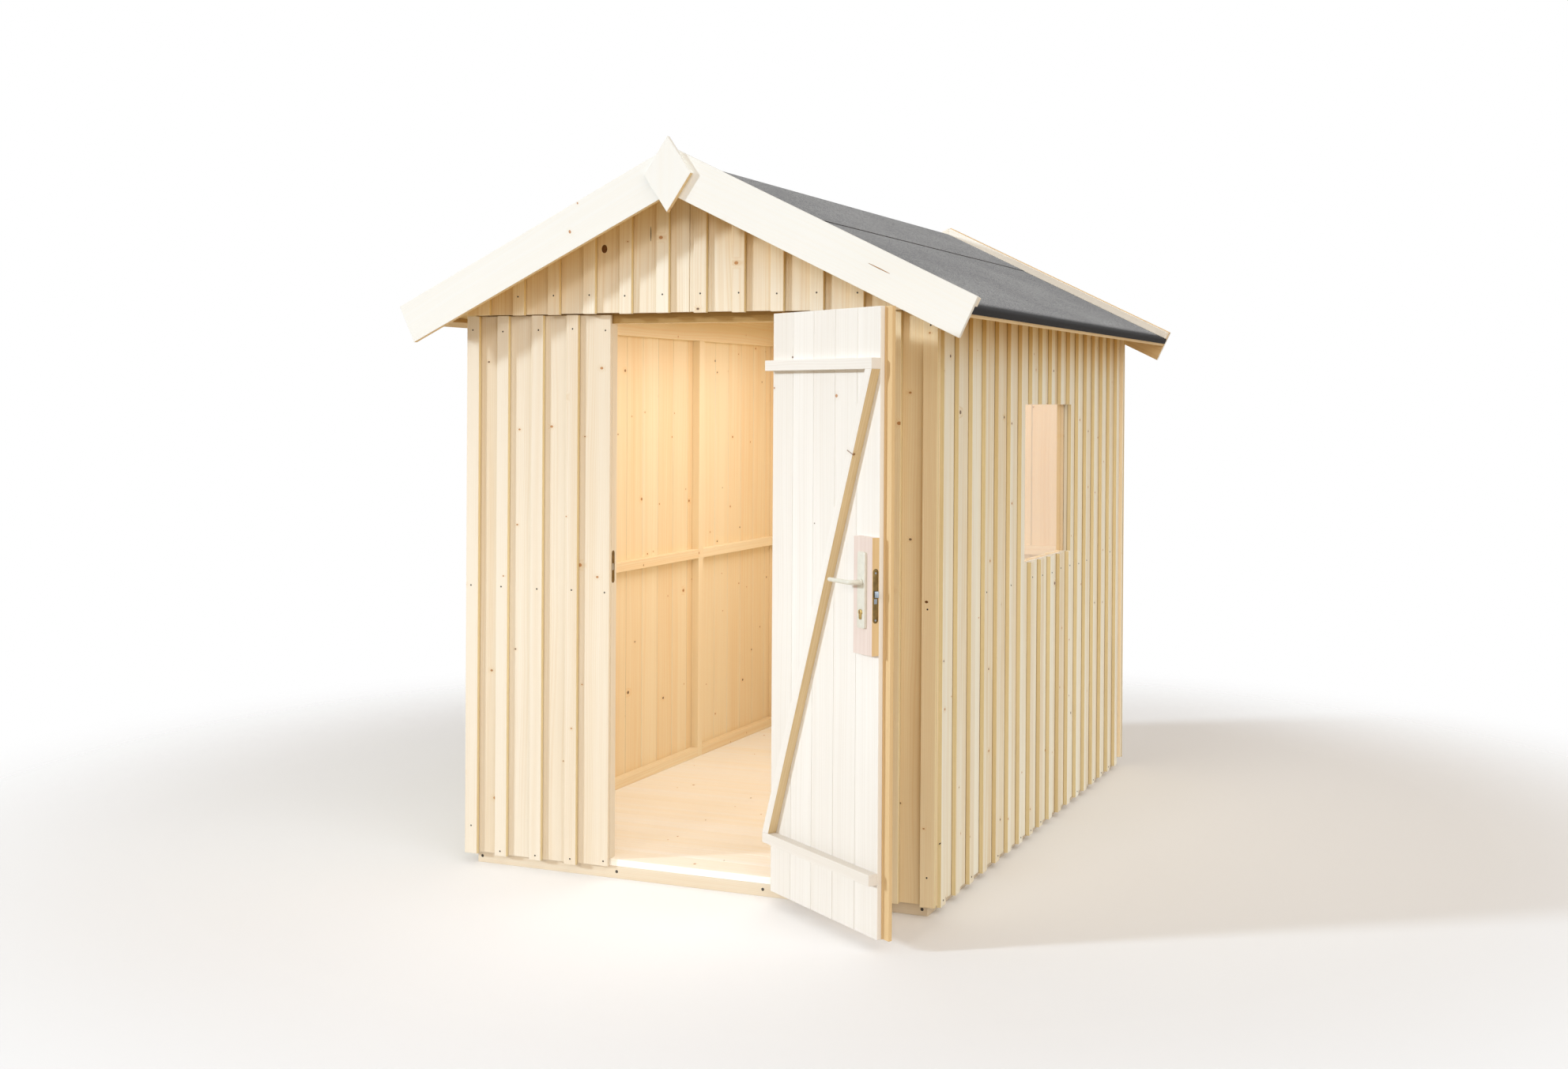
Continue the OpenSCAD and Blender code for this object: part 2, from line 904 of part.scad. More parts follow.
// Lift-off hinges: the lower half carries the pin, the upper half turns with the leaf
module hinge_half(side, z) {
    x = min(0, side * hinge_plate_l);
    translate([hinge_x, hinge_y, z])
        cylinder(d = knuckle_d, h = knuckle_h - seat / 2);
    translate([hinge_x + x, -y_board - hinge_plate_t, z])
        cube([hinge_plate_l, hinge_plate_t, knuckle_h - seat / 2]);
}

module hinge_pins() {
    color(STEEL)
        for (z = hinge_zs) {
            hinge_half(1, z - knuckle_h);
            translate([hinge_x, hinge_y, z - knuckle_h])
                cylinder(d = hinge_pin_d, h = knuckle_h + pin_reach);
        }
}

module hinge_leaves() {
    color(STEEL)
        as_opened()
            for (z = hinge_zs)
                difference() {
                    hinge_half(-1, z + seat / 2);
                    translate([hinge_x, hinge_y, z - 1])
                        cylinder(d = hinge_pin_d + 2 * pin_clear, h = pin_reach + 2);
                }
}

floor_frame();
floor_deck();
front_panel_left();
front_panel_right();
front_gable();
front_studs();
front_rails();
strike_plate();
left_panel_front();
left_panel_middle();
left_panel_back();
left_studs();
left_rails();
right_panel_front();
right_panel_middle();
right_panel_back();
right_studs();
right_rails();
window_pane();
window_stops();
back_panel_left();
back_panel_right();
back_gable();
back_studs();
back_rails();
gable_rafters();
ridge_beam();
roof_boards_left();
roof_boards_right();
eave_battens();
felt_left();
felt_right();
felt_ridge();
verge_battens();
barge_boards_front();
barge_boards_back();
peak_cover();
hinge_pins();
door_leaf();
door_cover_strip();
door_ledges();
door_brace();
lock_block();
lock_edge_plate();
handle_plates();
key_cylinder();
hinge_leaves();
door_lever();
latch_bolt();
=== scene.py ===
"""Looks of a board-and-batten garden shed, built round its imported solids.

Lengths are in metres, in the frame of the solids: X to the right, Y to the back, Z up.
Boards, battens, floor and roof boards and nails are laid by Geometry Nodes; the shaped
timbers and the metal parts start from the solids themselves.
"""

import json
import math
import random

import bmesh
import bpy
from bpy.props import FloatProperty, FloatVectorProperty, IntProperty, PointerProperty
from bpy.types import Operator, Panel, PropertyGroup
from mathutils import Euler, Matrix, Vector, noise


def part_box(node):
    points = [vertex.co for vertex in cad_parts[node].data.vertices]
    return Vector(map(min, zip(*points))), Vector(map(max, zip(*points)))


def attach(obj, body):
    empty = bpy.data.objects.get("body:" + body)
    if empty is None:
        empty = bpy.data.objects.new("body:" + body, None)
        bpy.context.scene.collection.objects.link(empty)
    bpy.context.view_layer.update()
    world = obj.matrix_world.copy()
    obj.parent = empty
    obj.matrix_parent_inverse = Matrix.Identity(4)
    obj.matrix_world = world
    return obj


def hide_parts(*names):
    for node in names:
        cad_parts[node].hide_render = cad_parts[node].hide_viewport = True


bl_info = {
    "name": "Garden shed",
    "version": (1, 0, 0),
    "blender": (4, 5, 0),
    "location": "View3D > Sidebar > Shed",
    "description": "Boards, felt, ironwork and nails of a wooden garden shed",
    "category": "Object",
}

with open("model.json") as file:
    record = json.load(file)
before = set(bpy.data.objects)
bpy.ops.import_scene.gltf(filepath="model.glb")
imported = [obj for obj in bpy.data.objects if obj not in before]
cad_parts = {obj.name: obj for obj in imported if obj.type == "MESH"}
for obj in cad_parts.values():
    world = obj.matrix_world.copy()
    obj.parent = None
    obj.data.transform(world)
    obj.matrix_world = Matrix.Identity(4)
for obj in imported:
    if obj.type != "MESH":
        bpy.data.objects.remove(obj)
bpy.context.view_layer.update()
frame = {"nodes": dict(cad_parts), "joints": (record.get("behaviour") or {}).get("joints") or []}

X, Y, Z = Vector((1, 0, 0)), Vector((0, 1, 0)), Vector((0, 0, 1))
# Places of a solid that lie nearer to each other than this are the same.
NEAR = 1e-4
# A face looks one way where the cosine of the angle between the two is higher than this.
FACING = 0.7
# Corners of a timber's and of a metal part's solid that lie nearer than this are merged.
TIMBER_MERGE, METAL_MERGE = 1e-5, 1e-6
# Neighbouring triangles of a solid that meet at a smaller angle, in radians, are one face.
FLAT = 0.005
# A roof this high cuts no board.
NO_ROOF = 100.0


def srgb(red, green, blue):
    """Linear colour of an sRGB one with parts from 0 to 255."""
    parts = (c / 255 for c in (red, green, blue))
    return tuple(c / 12.92 if c <= 0.04045 else ((c + 0.055) / 1.055) ** 2.4 for c in parts)


def colour(name, words, red, green, blue):
    """A colour property."""
    return FloatVectorProperty(name=name, description=words, subtype="COLOR", size=3, min=0, max=1,
                               default=srgb(red, green, blue))


def length(name, words, default):
    """A length property in metres."""
    return FloatProperty(name=name, description=words, default=default, min=0, unit="LENGTH", precision=4)


def angle(name, words, degrees):
    """An angle property."""
    return FloatProperty(name=name, description=words, default=math.radians(degrees), subtype="ANGLE")


def share(name, words, default):
    """A property from 0 to 1."""
    return FloatProperty(name=name, description=words, default=default, min=0, max=1, subtype="FACTOR")


def level(name, words, default):
    """A light's strength as a property."""
    return FloatProperty(name=name, description=words, default=default, min=0)


def way(name, words, default):
    """A direction as a property."""
    return FloatVectorProperty(name=name, description=words, default=default, size=3, subtype="XYZ")


class ShedTimber(PropertyGroup):
    """Sizes and colours of the wood."""

    edge: length("Edge", "Rounding of a board's edges", 0.0016)
    joint: length("Joint", "Open joint between two boards", 0.0016)
    recess: length("Recess", "How much further the battens stand out than in the solids", 0.0032)
    end_play: length("End play", "How unevenly the wall boards end", 0.004)
    # Boards deeper than their battens: partly the wood's own tone, partly painted shade of the recess.
    board_depth: share("Board tint", "How much deeper the boards are than their battens", 0.08)
    floor_board: length("Floor board", "Width of a floor board", 0.121)
    roof_board: length("Roof board", "Width of a roof board", 0.110)
    door_board: length("Door board", "Width of a board of the door", 0.126)
    ring: length("Growth ring", "Width of a growth ring", 0.0042)
    knot: colour("Knot", "Wood of a knot", 184, 122, 58)
    knot_dead: colour("Dead knot", "Wood of a dark, dead knot", 84, 44, 24)
    corner: colour("Corner", "Shade where a batten meets its boards", 142, 108, 56)
    # One spruce in lit and shaded copies: paler front and gable painted light, deeper side painted shade.
    front_pale: colour("Front, early wood", "Sunlit wall boards at the front", 239, 229, 211)
    front_deep: colour("Front, late wood", "Grain of the boards at the front", 221, 194, 152)
    gable_pale: colour("Gable, early wood", "Boards of the front gable", 250, 243, 226)
    gable_deep: colour("Gable, late wood", "Grain of the front gable's boards", 226, 196, 150)
    # Painted shade: the boards behind the open door, a golden copy of the front's wood for its shadow.
    warm_pale: colour("Hinge side, early wood", "Wall boards behind the open door", 250, 232, 194)
    warm_deep: colour("Hinge side, late wood", "Grain of the boards behind the open door", 233, 196, 138)
    side_pale: colour("Side, early wood", "Wall boards of the other walls", 244, 243, 231)
    side_deep: colour("Side, late wood", "Grain of the other walls' boards", 216, 188, 136)
    trim_pale: colour("Trim, early wood", "Barge boards and their rhombus", 244, 246, 244)
    trim_deep: colour("Trim, late wood", "Grain of the barge boards", 241, 235, 220)
    door_pale: colour("Door, early wood", "Boards of the door", 243, 240, 234)
    door_deep: colour("Door, late wood", "Grain of the door", 225, 217, 205)
    room_pale: colour("Room, early wood", "Frame and inner side of the walls", 254, 238, 206)
    room_deep: colour("Room, late wood", "Grain of the frame", 240, 198, 136)
    floor_pale: colour("Floor, early wood", "Floor boards", 255, 252, 246)
    floor_deep: colour("Floor, late wood", "Grain of the floor boards", 250, 236, 208)
    # Painted shade: the brace's side towards the free edge takes this deeper wood.
    brace_pale: colour("Brace, early wood", "Free-edge side of the door's brace", 226, 204, 162)
    brace_deep: colour("Brace, late wood", "Grain of the brace's side", 200, 167, 114)
    # Painted shade: the head rail's front takes this dark wood for the shadow under the gable.
    rail_pale: colour("Head rail, early wood", "Rail over the doorway", 188, 152, 92)
    rail_deep: colour("Head rail, late wood", "Grain of the rail over the doorway", 160, 122, 66)
    # The cover strip's deeper tone, which shaded faces of other timbers also take as painted shade.
    strip_pale: colour("Cover strip, early wood", "Strip on the free edge of the door", 230, 203, 156)
    strip_deep: colour("Cover strip, late wood", "Grain of the cover strip", 200, 158, 100)
    # Painted shade: the battens' narrow sides take this deeper, golden copy of the wood.
    sawn_pale: colour("Batten side, early wood", "Sawn sides of the battens", 236, 219, 174)
    sawn_deep: colour("Batten side, late wood", "Grain of the battens' sides", 205, 176, 118)
    # Painted light: the window's edges, the studs seen through it and the verge battens take this paler
    # wood.
    cut_pale: colour("Cut edge, early wood", "Sawn edges of the window's opening", 252, 246, 234)
    cut_deep: colour("Cut edge, late wood", "Grain of the sawn edges", 240, 228, 204)
    block_pale: colour("Lock block, early wood", "Block that carries the lock", 230, 215, 206)
    block_deep: colour("Lock block, late wood", "Grain of the lock block", 211, 186, 171)
    # Painted shade: timbers darken towards the ground, against the pale floor's light from below.
    low_shade: colour("Soil", "Dust and splashes near the ground", 150, 125, 90)
    low_shade_height: length("Soil height", "How high the dust and splashes reach", 1.1)
    # Painted shade: wood close under the roof's edge is multiplied by this golden tone.
    roof_shade: colour("Unbleached", "Tone of the unbleached wood close under the roof", 253, 229, 181)
    roof_shade_depth: length("Unbleached depth", "How far below the roof the wood stays unbleached", 0.30)
    resin: colour("Resin", "Streak of resin on a barge board", 176, 126, 70)
    crack: colour("Crack", "Open cracks and slots", 58, 40, 24)
    seed: IntProperty(name="Seed", description="Seed of the grain and of the uneven ends", default=7)


class ShedRoofing(PropertyGroup):
    """Sizes and colours of the felt."""

    felt: colour("Felt", "Mineral surface of the felt", 193, 197, 202)
    felt_dark: colour("Felt, dark grains", "Dark grains of the felt", 82, 85, 91)
    # Painted shade: the felt darkens to this colour at its edges and round the fold at the eaves.
    felt_cut: colour("Felt, edge", "Cut or folded edge of the felt", 46, 46, 48)
    grain: length("Grain", "Size of a mineral grain", 0.0025)
    wave: length("Wave", "How far the felt lifts off its boards", 0.0012)


class ShedIron(PropertyGroup):
    """Sizes and colours of the metal."""

    nail_head: length("Nail head", "Diameter of a nail's head", 0.0062)
    nail_proud: length("Nail height", "Height of a nail's head", 0.0012)
    nail_foot: length("Lowest nails", "Height of the lowest nails over the boards' lower ends", 0.019)
    nail_middle: length("Middle nails", "Height of the middle nails over the foot of the frame", 0.92)
    nail_top: length("Highest nails", "Depth of the highest nails under the boards' upper ends", 0.05)
    nail_gable: length("Gable nails", "Height of a gable's nails over its boards' lower ends", 0.062)
    nail_corner: length("Corner nails", "How much higher a corner batten's lowest nail sits", 0.075)
    nail_edge: length("Doorway nails", "Distance of the doorway's nails from the boards' edge", 0.02)
    nail_play: length("Nail play", "How far a nail sits off its mark at most", 0.004)
    nail_share: share("Nail share", "Share of the nails that show on the other walls", 0.45)
    screw_head: length("Screw head", "Diameter of a screw's head", 0.011)
    screw_play: length("Screw play", "How far a screw sits off its mark at most", 0.002)
    plate: length("Handle plate", "Thickness of a handle plate", 0.008)
    plate_corner: length("Plate corner", "Radius of a handle plate's corners", 0.007)
    plate_screw: length("Plate screw", "Diameter of a handle plate's screws", 0.007)
    key_out: length("Key cylinder", "How far the key cylinder stands off its plate", 0.004)
    nail: colour("Nail", "Steel of the nails", 74, 68, 60)
    zinc: colour("Zinc", "Plated steel of hinges and bolts", 158, 168, 178)
    bronze: colour("Bronze", "Lock's edge plate and strike plate", 126, 104, 62)
    brass: colour("Brass", "Key cylinder", 186, 158, 96)
    enamel: colour("Enamel", "Ivory enamel of the lever and its plates", 222, 220, 207)


class ShedStage(PropertyGroup):
    """Light, floor and camera."""

    floor: colour("Floor", "Pale studio floor", 252, 252, 253)
    floor_radius: length("Floor radius", "Radius of the studio floor", 4.4)
    fade_from: length("Fade from", "Distance at which the floor starts to fade", 2.4)
    fade_to: length("Fade to", "Distance at which the floor has faded", 4.2)
    sky: level("Sky", "Level of the soft light from all sides", 0.37)
    sky_tint: colour("Sky tint", "Colour of the soft light from above", 255, 250, 243)
    low_tint: colour("Low tint", "Colour of the soft light from the sides and from below", 255, 212, 146)
    from_below: share("Light from below", "Share of the soft light that comes from below", 0.30)
    key: level("Key", "Strength of the key light", 2.05)
    key_softness: angle("Key softness", "Apparent size of the key light", 6)
    key_tint: colour("Key tint", "Colour of the key light", 222, 239, 255)
    key_from: way("Key from", "Where the key light comes from", (-0.80, -0.533, 0.28))
    front: level("Front light", "Strength of the softer light from the front", 0.5)
    front_softness: angle("Front softness", "Apparent size of the front light", 14)
    front_from: way("Front light from", "Where the front light comes from", (-0.12, -0.93, 0.34))
    fill: level("Side fill", "Strength of the broad light on the right wall", 1.48)
    fill_softness: angle("Fill softness", "Apparent size of the side fill", 70)
    fill_from: way("Side fill from", "Where the side fill comes from", (0.71, -0.51, 0.48))
    room: level("Room light", "Power of the fill light in the room in watts", 14.5)
    lens: FloatProperty(name="Lens", description="Focal length on a 36 mm sensor, in millimetres",
                        default=40.39)


# Tools


class Nodes:
    """Adds nodes to a tree and links their sockets."""

    def __init__(self, tree):
        self.tree = tree

    def put(self, node, inputs):
        """Links or sets the inputs of a node."""
        for key, value in inputs.items():
            if isinstance(value, bpy.types.NodeSocket):
                self.tree.links.new(value, node.inputs[key])
            else:
                node.inputs[key].default_value = value

    def add(self, kind, inputs=None, **settings):
        """A new node with its settings, and with each input linked or set."""
        made = self.tree.nodes.new(kind)
        for key, value in settings.items():
            setattr(made, key, value)
        self.put(made, inputs or {})
        return made

    def math(self, operation, *values, clamp=False):
        """Result of a Math node."""
        inputs = dict(enumerate(values))
        return self.add("ShaderNodeMath", inputs, operation=operation, use_clamp=clamp).outputs[0]

    def vector(self, operation, *values):
        """Result of a Vector Math node."""
        return self.add("ShaderNodeVectorMath", dict(enumerate(values)), operation=operation).outputs[0]

    def size_of(self, vector):
        """Length of a vector."""
        return self.add("ShaderNodeVectorMath", {0: vector}, operation="LENGTH").outputs["Value"]

    def split(self, vector):
        """X, Y and Z of a vector."""
        return self.add("ShaderNodeSeparateXYZ", {0: vector}).outputs

    def join(self, x, y, z):
        """Vector of three numbers."""
        return self.add("ShaderNodeCombineXYZ", {0: x, 1: y, 2: z}).outputs[0]

    def mix(self, factor, a, b, blend="MIX"):
        """Colour between a and b."""
        first, second = ((*c, 1) if isinstance(c, tuple) else c for c in (a, b))
        inputs = {0: factor, 6: first, 7: second}
        return self.add("ShaderNodeMix", inputs, data_type="RGBA", blend_type=blend).outputs[2]

    def remap(self, value, low, high, to_low=0.0, to_high=1.0):
        """Value from one range to another, clamped, with soft ends."""
        inputs = {"Value": value, "From Min": low, "From Max": high, "To Min": to_low, "To Max": to_high}
        return self.add("ShaderNodeMapRange", inputs, interpolation_type="SMOOTHSTEP").outputs[0]

    def noise(self, vector, scale, detail=2.0, roughness=0.5):
        """Noise from 0 to 1."""
        inputs = {"Vector": vector, "Scale": scale, "Detail": detail, "Roughness": roughness}
        return self.add("ShaderNodeTexNoise", inputs).outputs[0]

    def place(self):
        """Place on the object."""
        return self.add("ShaderNodeTexCoord").outputs["Object"]

    def attribute(self, name, output):
        """Value of one of the mesh's own attributes."""
        return self.add("ShaderNodeAttribute", attribute_name=name).outputs[output]


def new_material(name):
    """An empty material: itself, its nodes and its shader."""
    made = bpy.data.materials.new(name)
    made.use_nodes = True
    made.node_tree.nodes.clear()
    nodes = Nodes(made.node_tree)
    shader = nodes.add("ShaderNodeBsdfPrincipled")
    nodes.add("ShaderNodeOutputMaterial", {"Surface": shader.outputs[0]})
    return made, nodes, shader


def timber_props():
    """Sizes and colours of the wood."""
    return bpy.context.scene.shed_timber


def plain_mesh(obj):
    """Turns obj into a plain mesh at the origin with its modifiers applied."""
    depsgraph = bpy.context.evaluated_depsgraph_get()
    evaluated = obj.evaluated_get(depsgraph)
    mesh = bpy.data.meshes.new_from_object(evaluated, preserve_all_data_layers=True, depsgraph=depsgraph)
    obj.modifiers.clear()
    old = obj.data
    obj.data = mesh
    mesh.name = obj.name
    bpy.data.meshes.remove(old)
    for spare in ("size", "turn", "tint", "centre", "shift", "custom_normal"):
        if spare in mesh.attributes:
            mesh.attributes.remove(mesh.attributes[spare])
    return obj


def new_object(name, data):
    """An object in the scene."""
    made = bpy.data.objects.new(name, data)
    bpy.context.scene.collection.objects.link(made)
    return made


def modelled(name, bm, *materials):
    """An object of a finished bmesh."""
    mesh = bpy.data.meshes.new(name)
    bm.to_mesh(mesh)
    bm.free()
    for material in materials:
        mesh.materials.append(material)
    return new_object(name, mesh)


def merged(node, near=TIMBER_MERGE):
    """A solid as a bmesh, with its loose triangles joined to whole faces."""
    bm = bmesh.new()
    bm.from_mesh(frame["nodes"][node].data)
    bmesh.ops.remove_doubles(bm, verts=bm.verts, dist=near)
    bmesh.ops.dissolve_limit(bm, angle_limit=FLAT, verts=bm.verts, edges=bm.edges)
    for face in bm.faces:
        face.material_index = 0
    return bm


def round_edges(obj, width, segments=2, sharper=35):
    """Rounds the edges of obj that are sharper than an angle in degrees."""
    bevel = obj.modifiers.new("Rounded edges", "BEVEL")
    bevel.width = width
    bevel.segments = segments
    bevel.limit_method = "ANGLE"
    bevel.angle_limit = math.radians(sharper)
    bevel.harden_normals = False


def shade(obj, sharper=32):
    """Smooth shading, with edges sharper than an angle in degrees kept."""
    obj.data.polygons.foreach_set("use_smooth", [True] * len(obj.data.polygons))
    obj.data.set_sharp_from_angle(angle=math.radians(sharper))


def hand_over(obj, body, slot, *nodes):
    """Gives a finished piece its body, and lets it stand for its solids; the slot is not used."""
    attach(obj, body)
    if nodes:
        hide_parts(*nodes)


def points_of(node):
    """Corners of a solid."""
    return [v.co.copy() for v in frame["nodes"][node].data.vertices]


def distinct(values, step=NEAR):
    """Sorted values with near repeats left out."""
    kept = []
    for value in sorted(values):
        if not kept or value - kept[-1] > step:
            kept.append(value)
    return kept


def pairs(values):
    """Each value with the one after it, two by two."""
    return list(zip(values[::2], values[1::2]))


# The roof's and the door's own directions


class RoofSlopes:
    """The two slopes, read from the roof boards.

    Down is the way to the eaves and out the way off the boards. A side is 1 on the right and -1 on
    the left.
    """

    def __init__(self):
        corners = points_of("roof_boards_right")
        eave = max(corners, key=lambda p: p.x)
        self.peak = max(p.z for p in corners)
        self.pitch = math.atan((self.peak - eave.z) / eave.x)
        self.run = eave.x / math.cos(self.pitch)
        self.ends = min(p.y for p in corners), max(p.y for p in corners)
        under = max(p.z for p in corners if p.x < NEAR and p.z < self.peak - NEAR)
        self.thickness = (self.peak - under) * math.cos(self.pitch)

    def down(self, side):
        """Direction down the slope."""
        return Vector((side * math.cos(self.pitch), 0, -math.sin(self.pitch)))

    def out(self, side):
        """Direction out of the slope."""
        return Vector((side * math.sin(self.pitch), 0, math.cos(self.pitch)))

    def point(self, side, down, out, y=0.0):
        """Place on a slope, from the ridge of the roof boards."""
        return Vector((0, y, self.peak)) + self.down(side) * down + self.out(side) * out

    def crest(self, out):
        """X and Z of the ridge of a layer on the roof boards."""
        return 0, self.peak + out / math.cos(self.pitch)


Slope = RoofSlopes()
HINGE = next(j for j in frame["joints"] if j["name"] == "door_hinge")
HINGE_AT = Matrix.Translation((*HINGE["pos_m"][:2], 0))
SHUT = math.radians(HINGE["range_deg"][0])
TO_OPEN = HINGE_AT @ Matrix.Rotation(-SHUT, 4, "Z") @ HINGE_AT.inverted()
TO_SHUT = TO_OPEN.inverted()
DOOR_OUT = TO_OPEN.to_3x3() @ -Y
DOOR_FREE_EDGE = TO_OPEN.to_3x3() @ -X


# Wood

# Share of the places for a knot that have one, and strength of the grain, where they aren't the usual ones.
KNOTS = {"front": 0.6, "gable": 0.5, "warm": 0.6, "side": 0.7, "room": 0.7, "floor": 0.6, "door": 0.35,
         "trim": 0.45}
USUAL_KNOTS = 0.3
CONTRAST = {"trim": 0.55, "front": 0.9, "gable": 1.1, "side": 1.3}
# How strongly painted shade darkens each kind near the ground, and the kinds shaded golden under the roof.
LOW_SHADE = {"floor": 0.0, "side": 0.06, "room": 0.08, "door": 0.26}
USUAL_LOW_SHADE = 0.20
SHADED_UNDER_ROOF = ("side", "gable", "sawn")
# Places for a knot in a metre along and across the grain.
KNOT_PLACES = (2.6, 9.0)
# A knot's least radius, what the largest have more, and how far it is drawn in along and across the grain.
KNOT_RADIUS, KNOT_MORE, KNOT_OVAL = 0.0026, 0.0052, (1.15, 0.85)
# In radii, where a knot's core and the bent grain round it end, and where they are whole.
KNOT_CORE, KNOT_HALO = (1.15, 0.75), (4.0, 0.8)
# A knot's draw goes from live to dead between these.
KNOT_AGES = (0.66, 0.78)
# How often drift, fibres and clouds of tone change in a metre along, across and through the grain.
DRIFT_RATE, FIBRE_RATE, CLOUD_RATE = (0.8, 5.0, 5.0), (5.0, 330.0, 330.0), (1.1, 11.0, 11.0)
# How often streaks change in a metre across the rings and along them.
STREAK_ACROSS, STREAK_ALONG = 55.0, 0.35
# Metres by which rings drift sideways and bend round a knot, and the power that narrows their dark part.
RING_DRIFT, RING_BEND, RING_POWER = 0.06, 0.006, 2.2
# Depth of colour: of the pale part of a ring, then what the dark part and the bent grain add.
PALE_DEPTH, RING_DEPTH, HALO_DEPTH = 0.12, 0.20, 0.22
# What streaks, fibres, clouds and the board's own tone change in that depth.
STREAK_DEPTH, FIBRE_DEPTH, CLOUD_DEPTH, TONE_DEPTH = 0.75, 0.34, 0.42, 0.40
# How far a knot's core hides the wood's colour.
CORE_COVER = 0.85
# Where the shadow at a batten's foot starts, and the clouds that thin it from one share to another.
FOOT_START, FOOT_CLOUDS, FOOT_SHARES = 0.72, (0.1, 0.75), (0.45, 0.95)
# Relief: how low the rings' dark part lies, how high the fibres do, its strength and its depth in metres.
RING_RELIEF, FIBRE_RELIEF, WOOD_RELIEF, WOOD_RELIEF_DEPTH = -0.35, 0.65, 0.22, 0.0006
# Roughness of wood, what fibres add to it, and its shine.
WOOD_ROUGH, FIBRE_ROUGH, WOOD_SHINE = 0.52, 0.16, 0.3
# A timber's pattern starts between these places along, across and through the wood.
GRAIN_FROM, GRAIN_TO = (0.0, -0.05, 0.03), (30.0, 0.05, 0.11)
# Boards differ in tone by this much at most.
TONE_PLAY = 0.8
# An edge runs across the grain where the cosine of the angle between the two is lower than this.
CROSSING = 0.3


def knot_pattern(nodes, along, across, knots):
    """How much a place lies in a knot and in the bent grain round it, and how dead the knot is."""
    place = nodes.join(along, across, 0.0)
    cell = nodes.vector("MULTIPLY", place, (*KNOT_PLACES, 0.0))
    spots = nodes.add("ShaderNodeTexVoronoi", {"Vector": cell, "Scale": 1.0}, voronoi_dimensions="2D")
    centre = nodes.vector("DIVIDE", spots.outputs["Position"], (*KNOT_PLACES, 1.0))
    apart = nodes.vector("SUBTRACT", place, centre)
    distance = nodes.size_of(nodes.vector("MULTIPLY", apart, (*KNOT_OVAL, 0.0)))
    chance, size, age = nodes.split(spots.outputs["Color"])
    grown = nodes.math("LESS_THAN", chance, knots)
    radius = nodes.math("MULTIPLY_ADD", nodes.math("POWER", size, 2.0), KNOT_MORE, KNOT_RADIUS)
    reach = nodes.math("DIVIDE", distance, radius)
    core = nodes.math("MULTIPLY", nodes.remap(reach, *KNOT_CORE), grown)
    halo = nodes.math("MULTIPLY", nodes.remap(reach, *KNOT_HALO), grown)
    return core, halo, nodes.remap(age, *KNOT_AGES)


def painted_shades(nodes, tint, low_shade, roof_shade):
    """Colour of wood with painted shade near the ground, and golden painted shade under the roof."""
    props = timber_props()
    x, _, z = nodes.split(nodes.place())
    dust_and_low_shade = nodes.remap(z, props.low_shade_height, 0.0, 0.0, low_shade)
    low_shaded = nodes.mix(dust_and_low_shade, tint, tuple(props.low_shade))
    fall = nodes.math("MULTIPLY", nodes.math("ABSOLUTE", x), math.tan(Slope.pitch))
    under_roof = nodes.math("SUBTRACT", nodes.math("SUBTRACT", Slope.peak, fall), z)
    under_roof_shade = nodes.remap(under_roof, props.roof_shade_depth, 0.0, 0.0, roof_shade)
    return nodes.mix(under_roof_shade, low_shaded, tuple(props.roof_shade), "MULTIPLY")


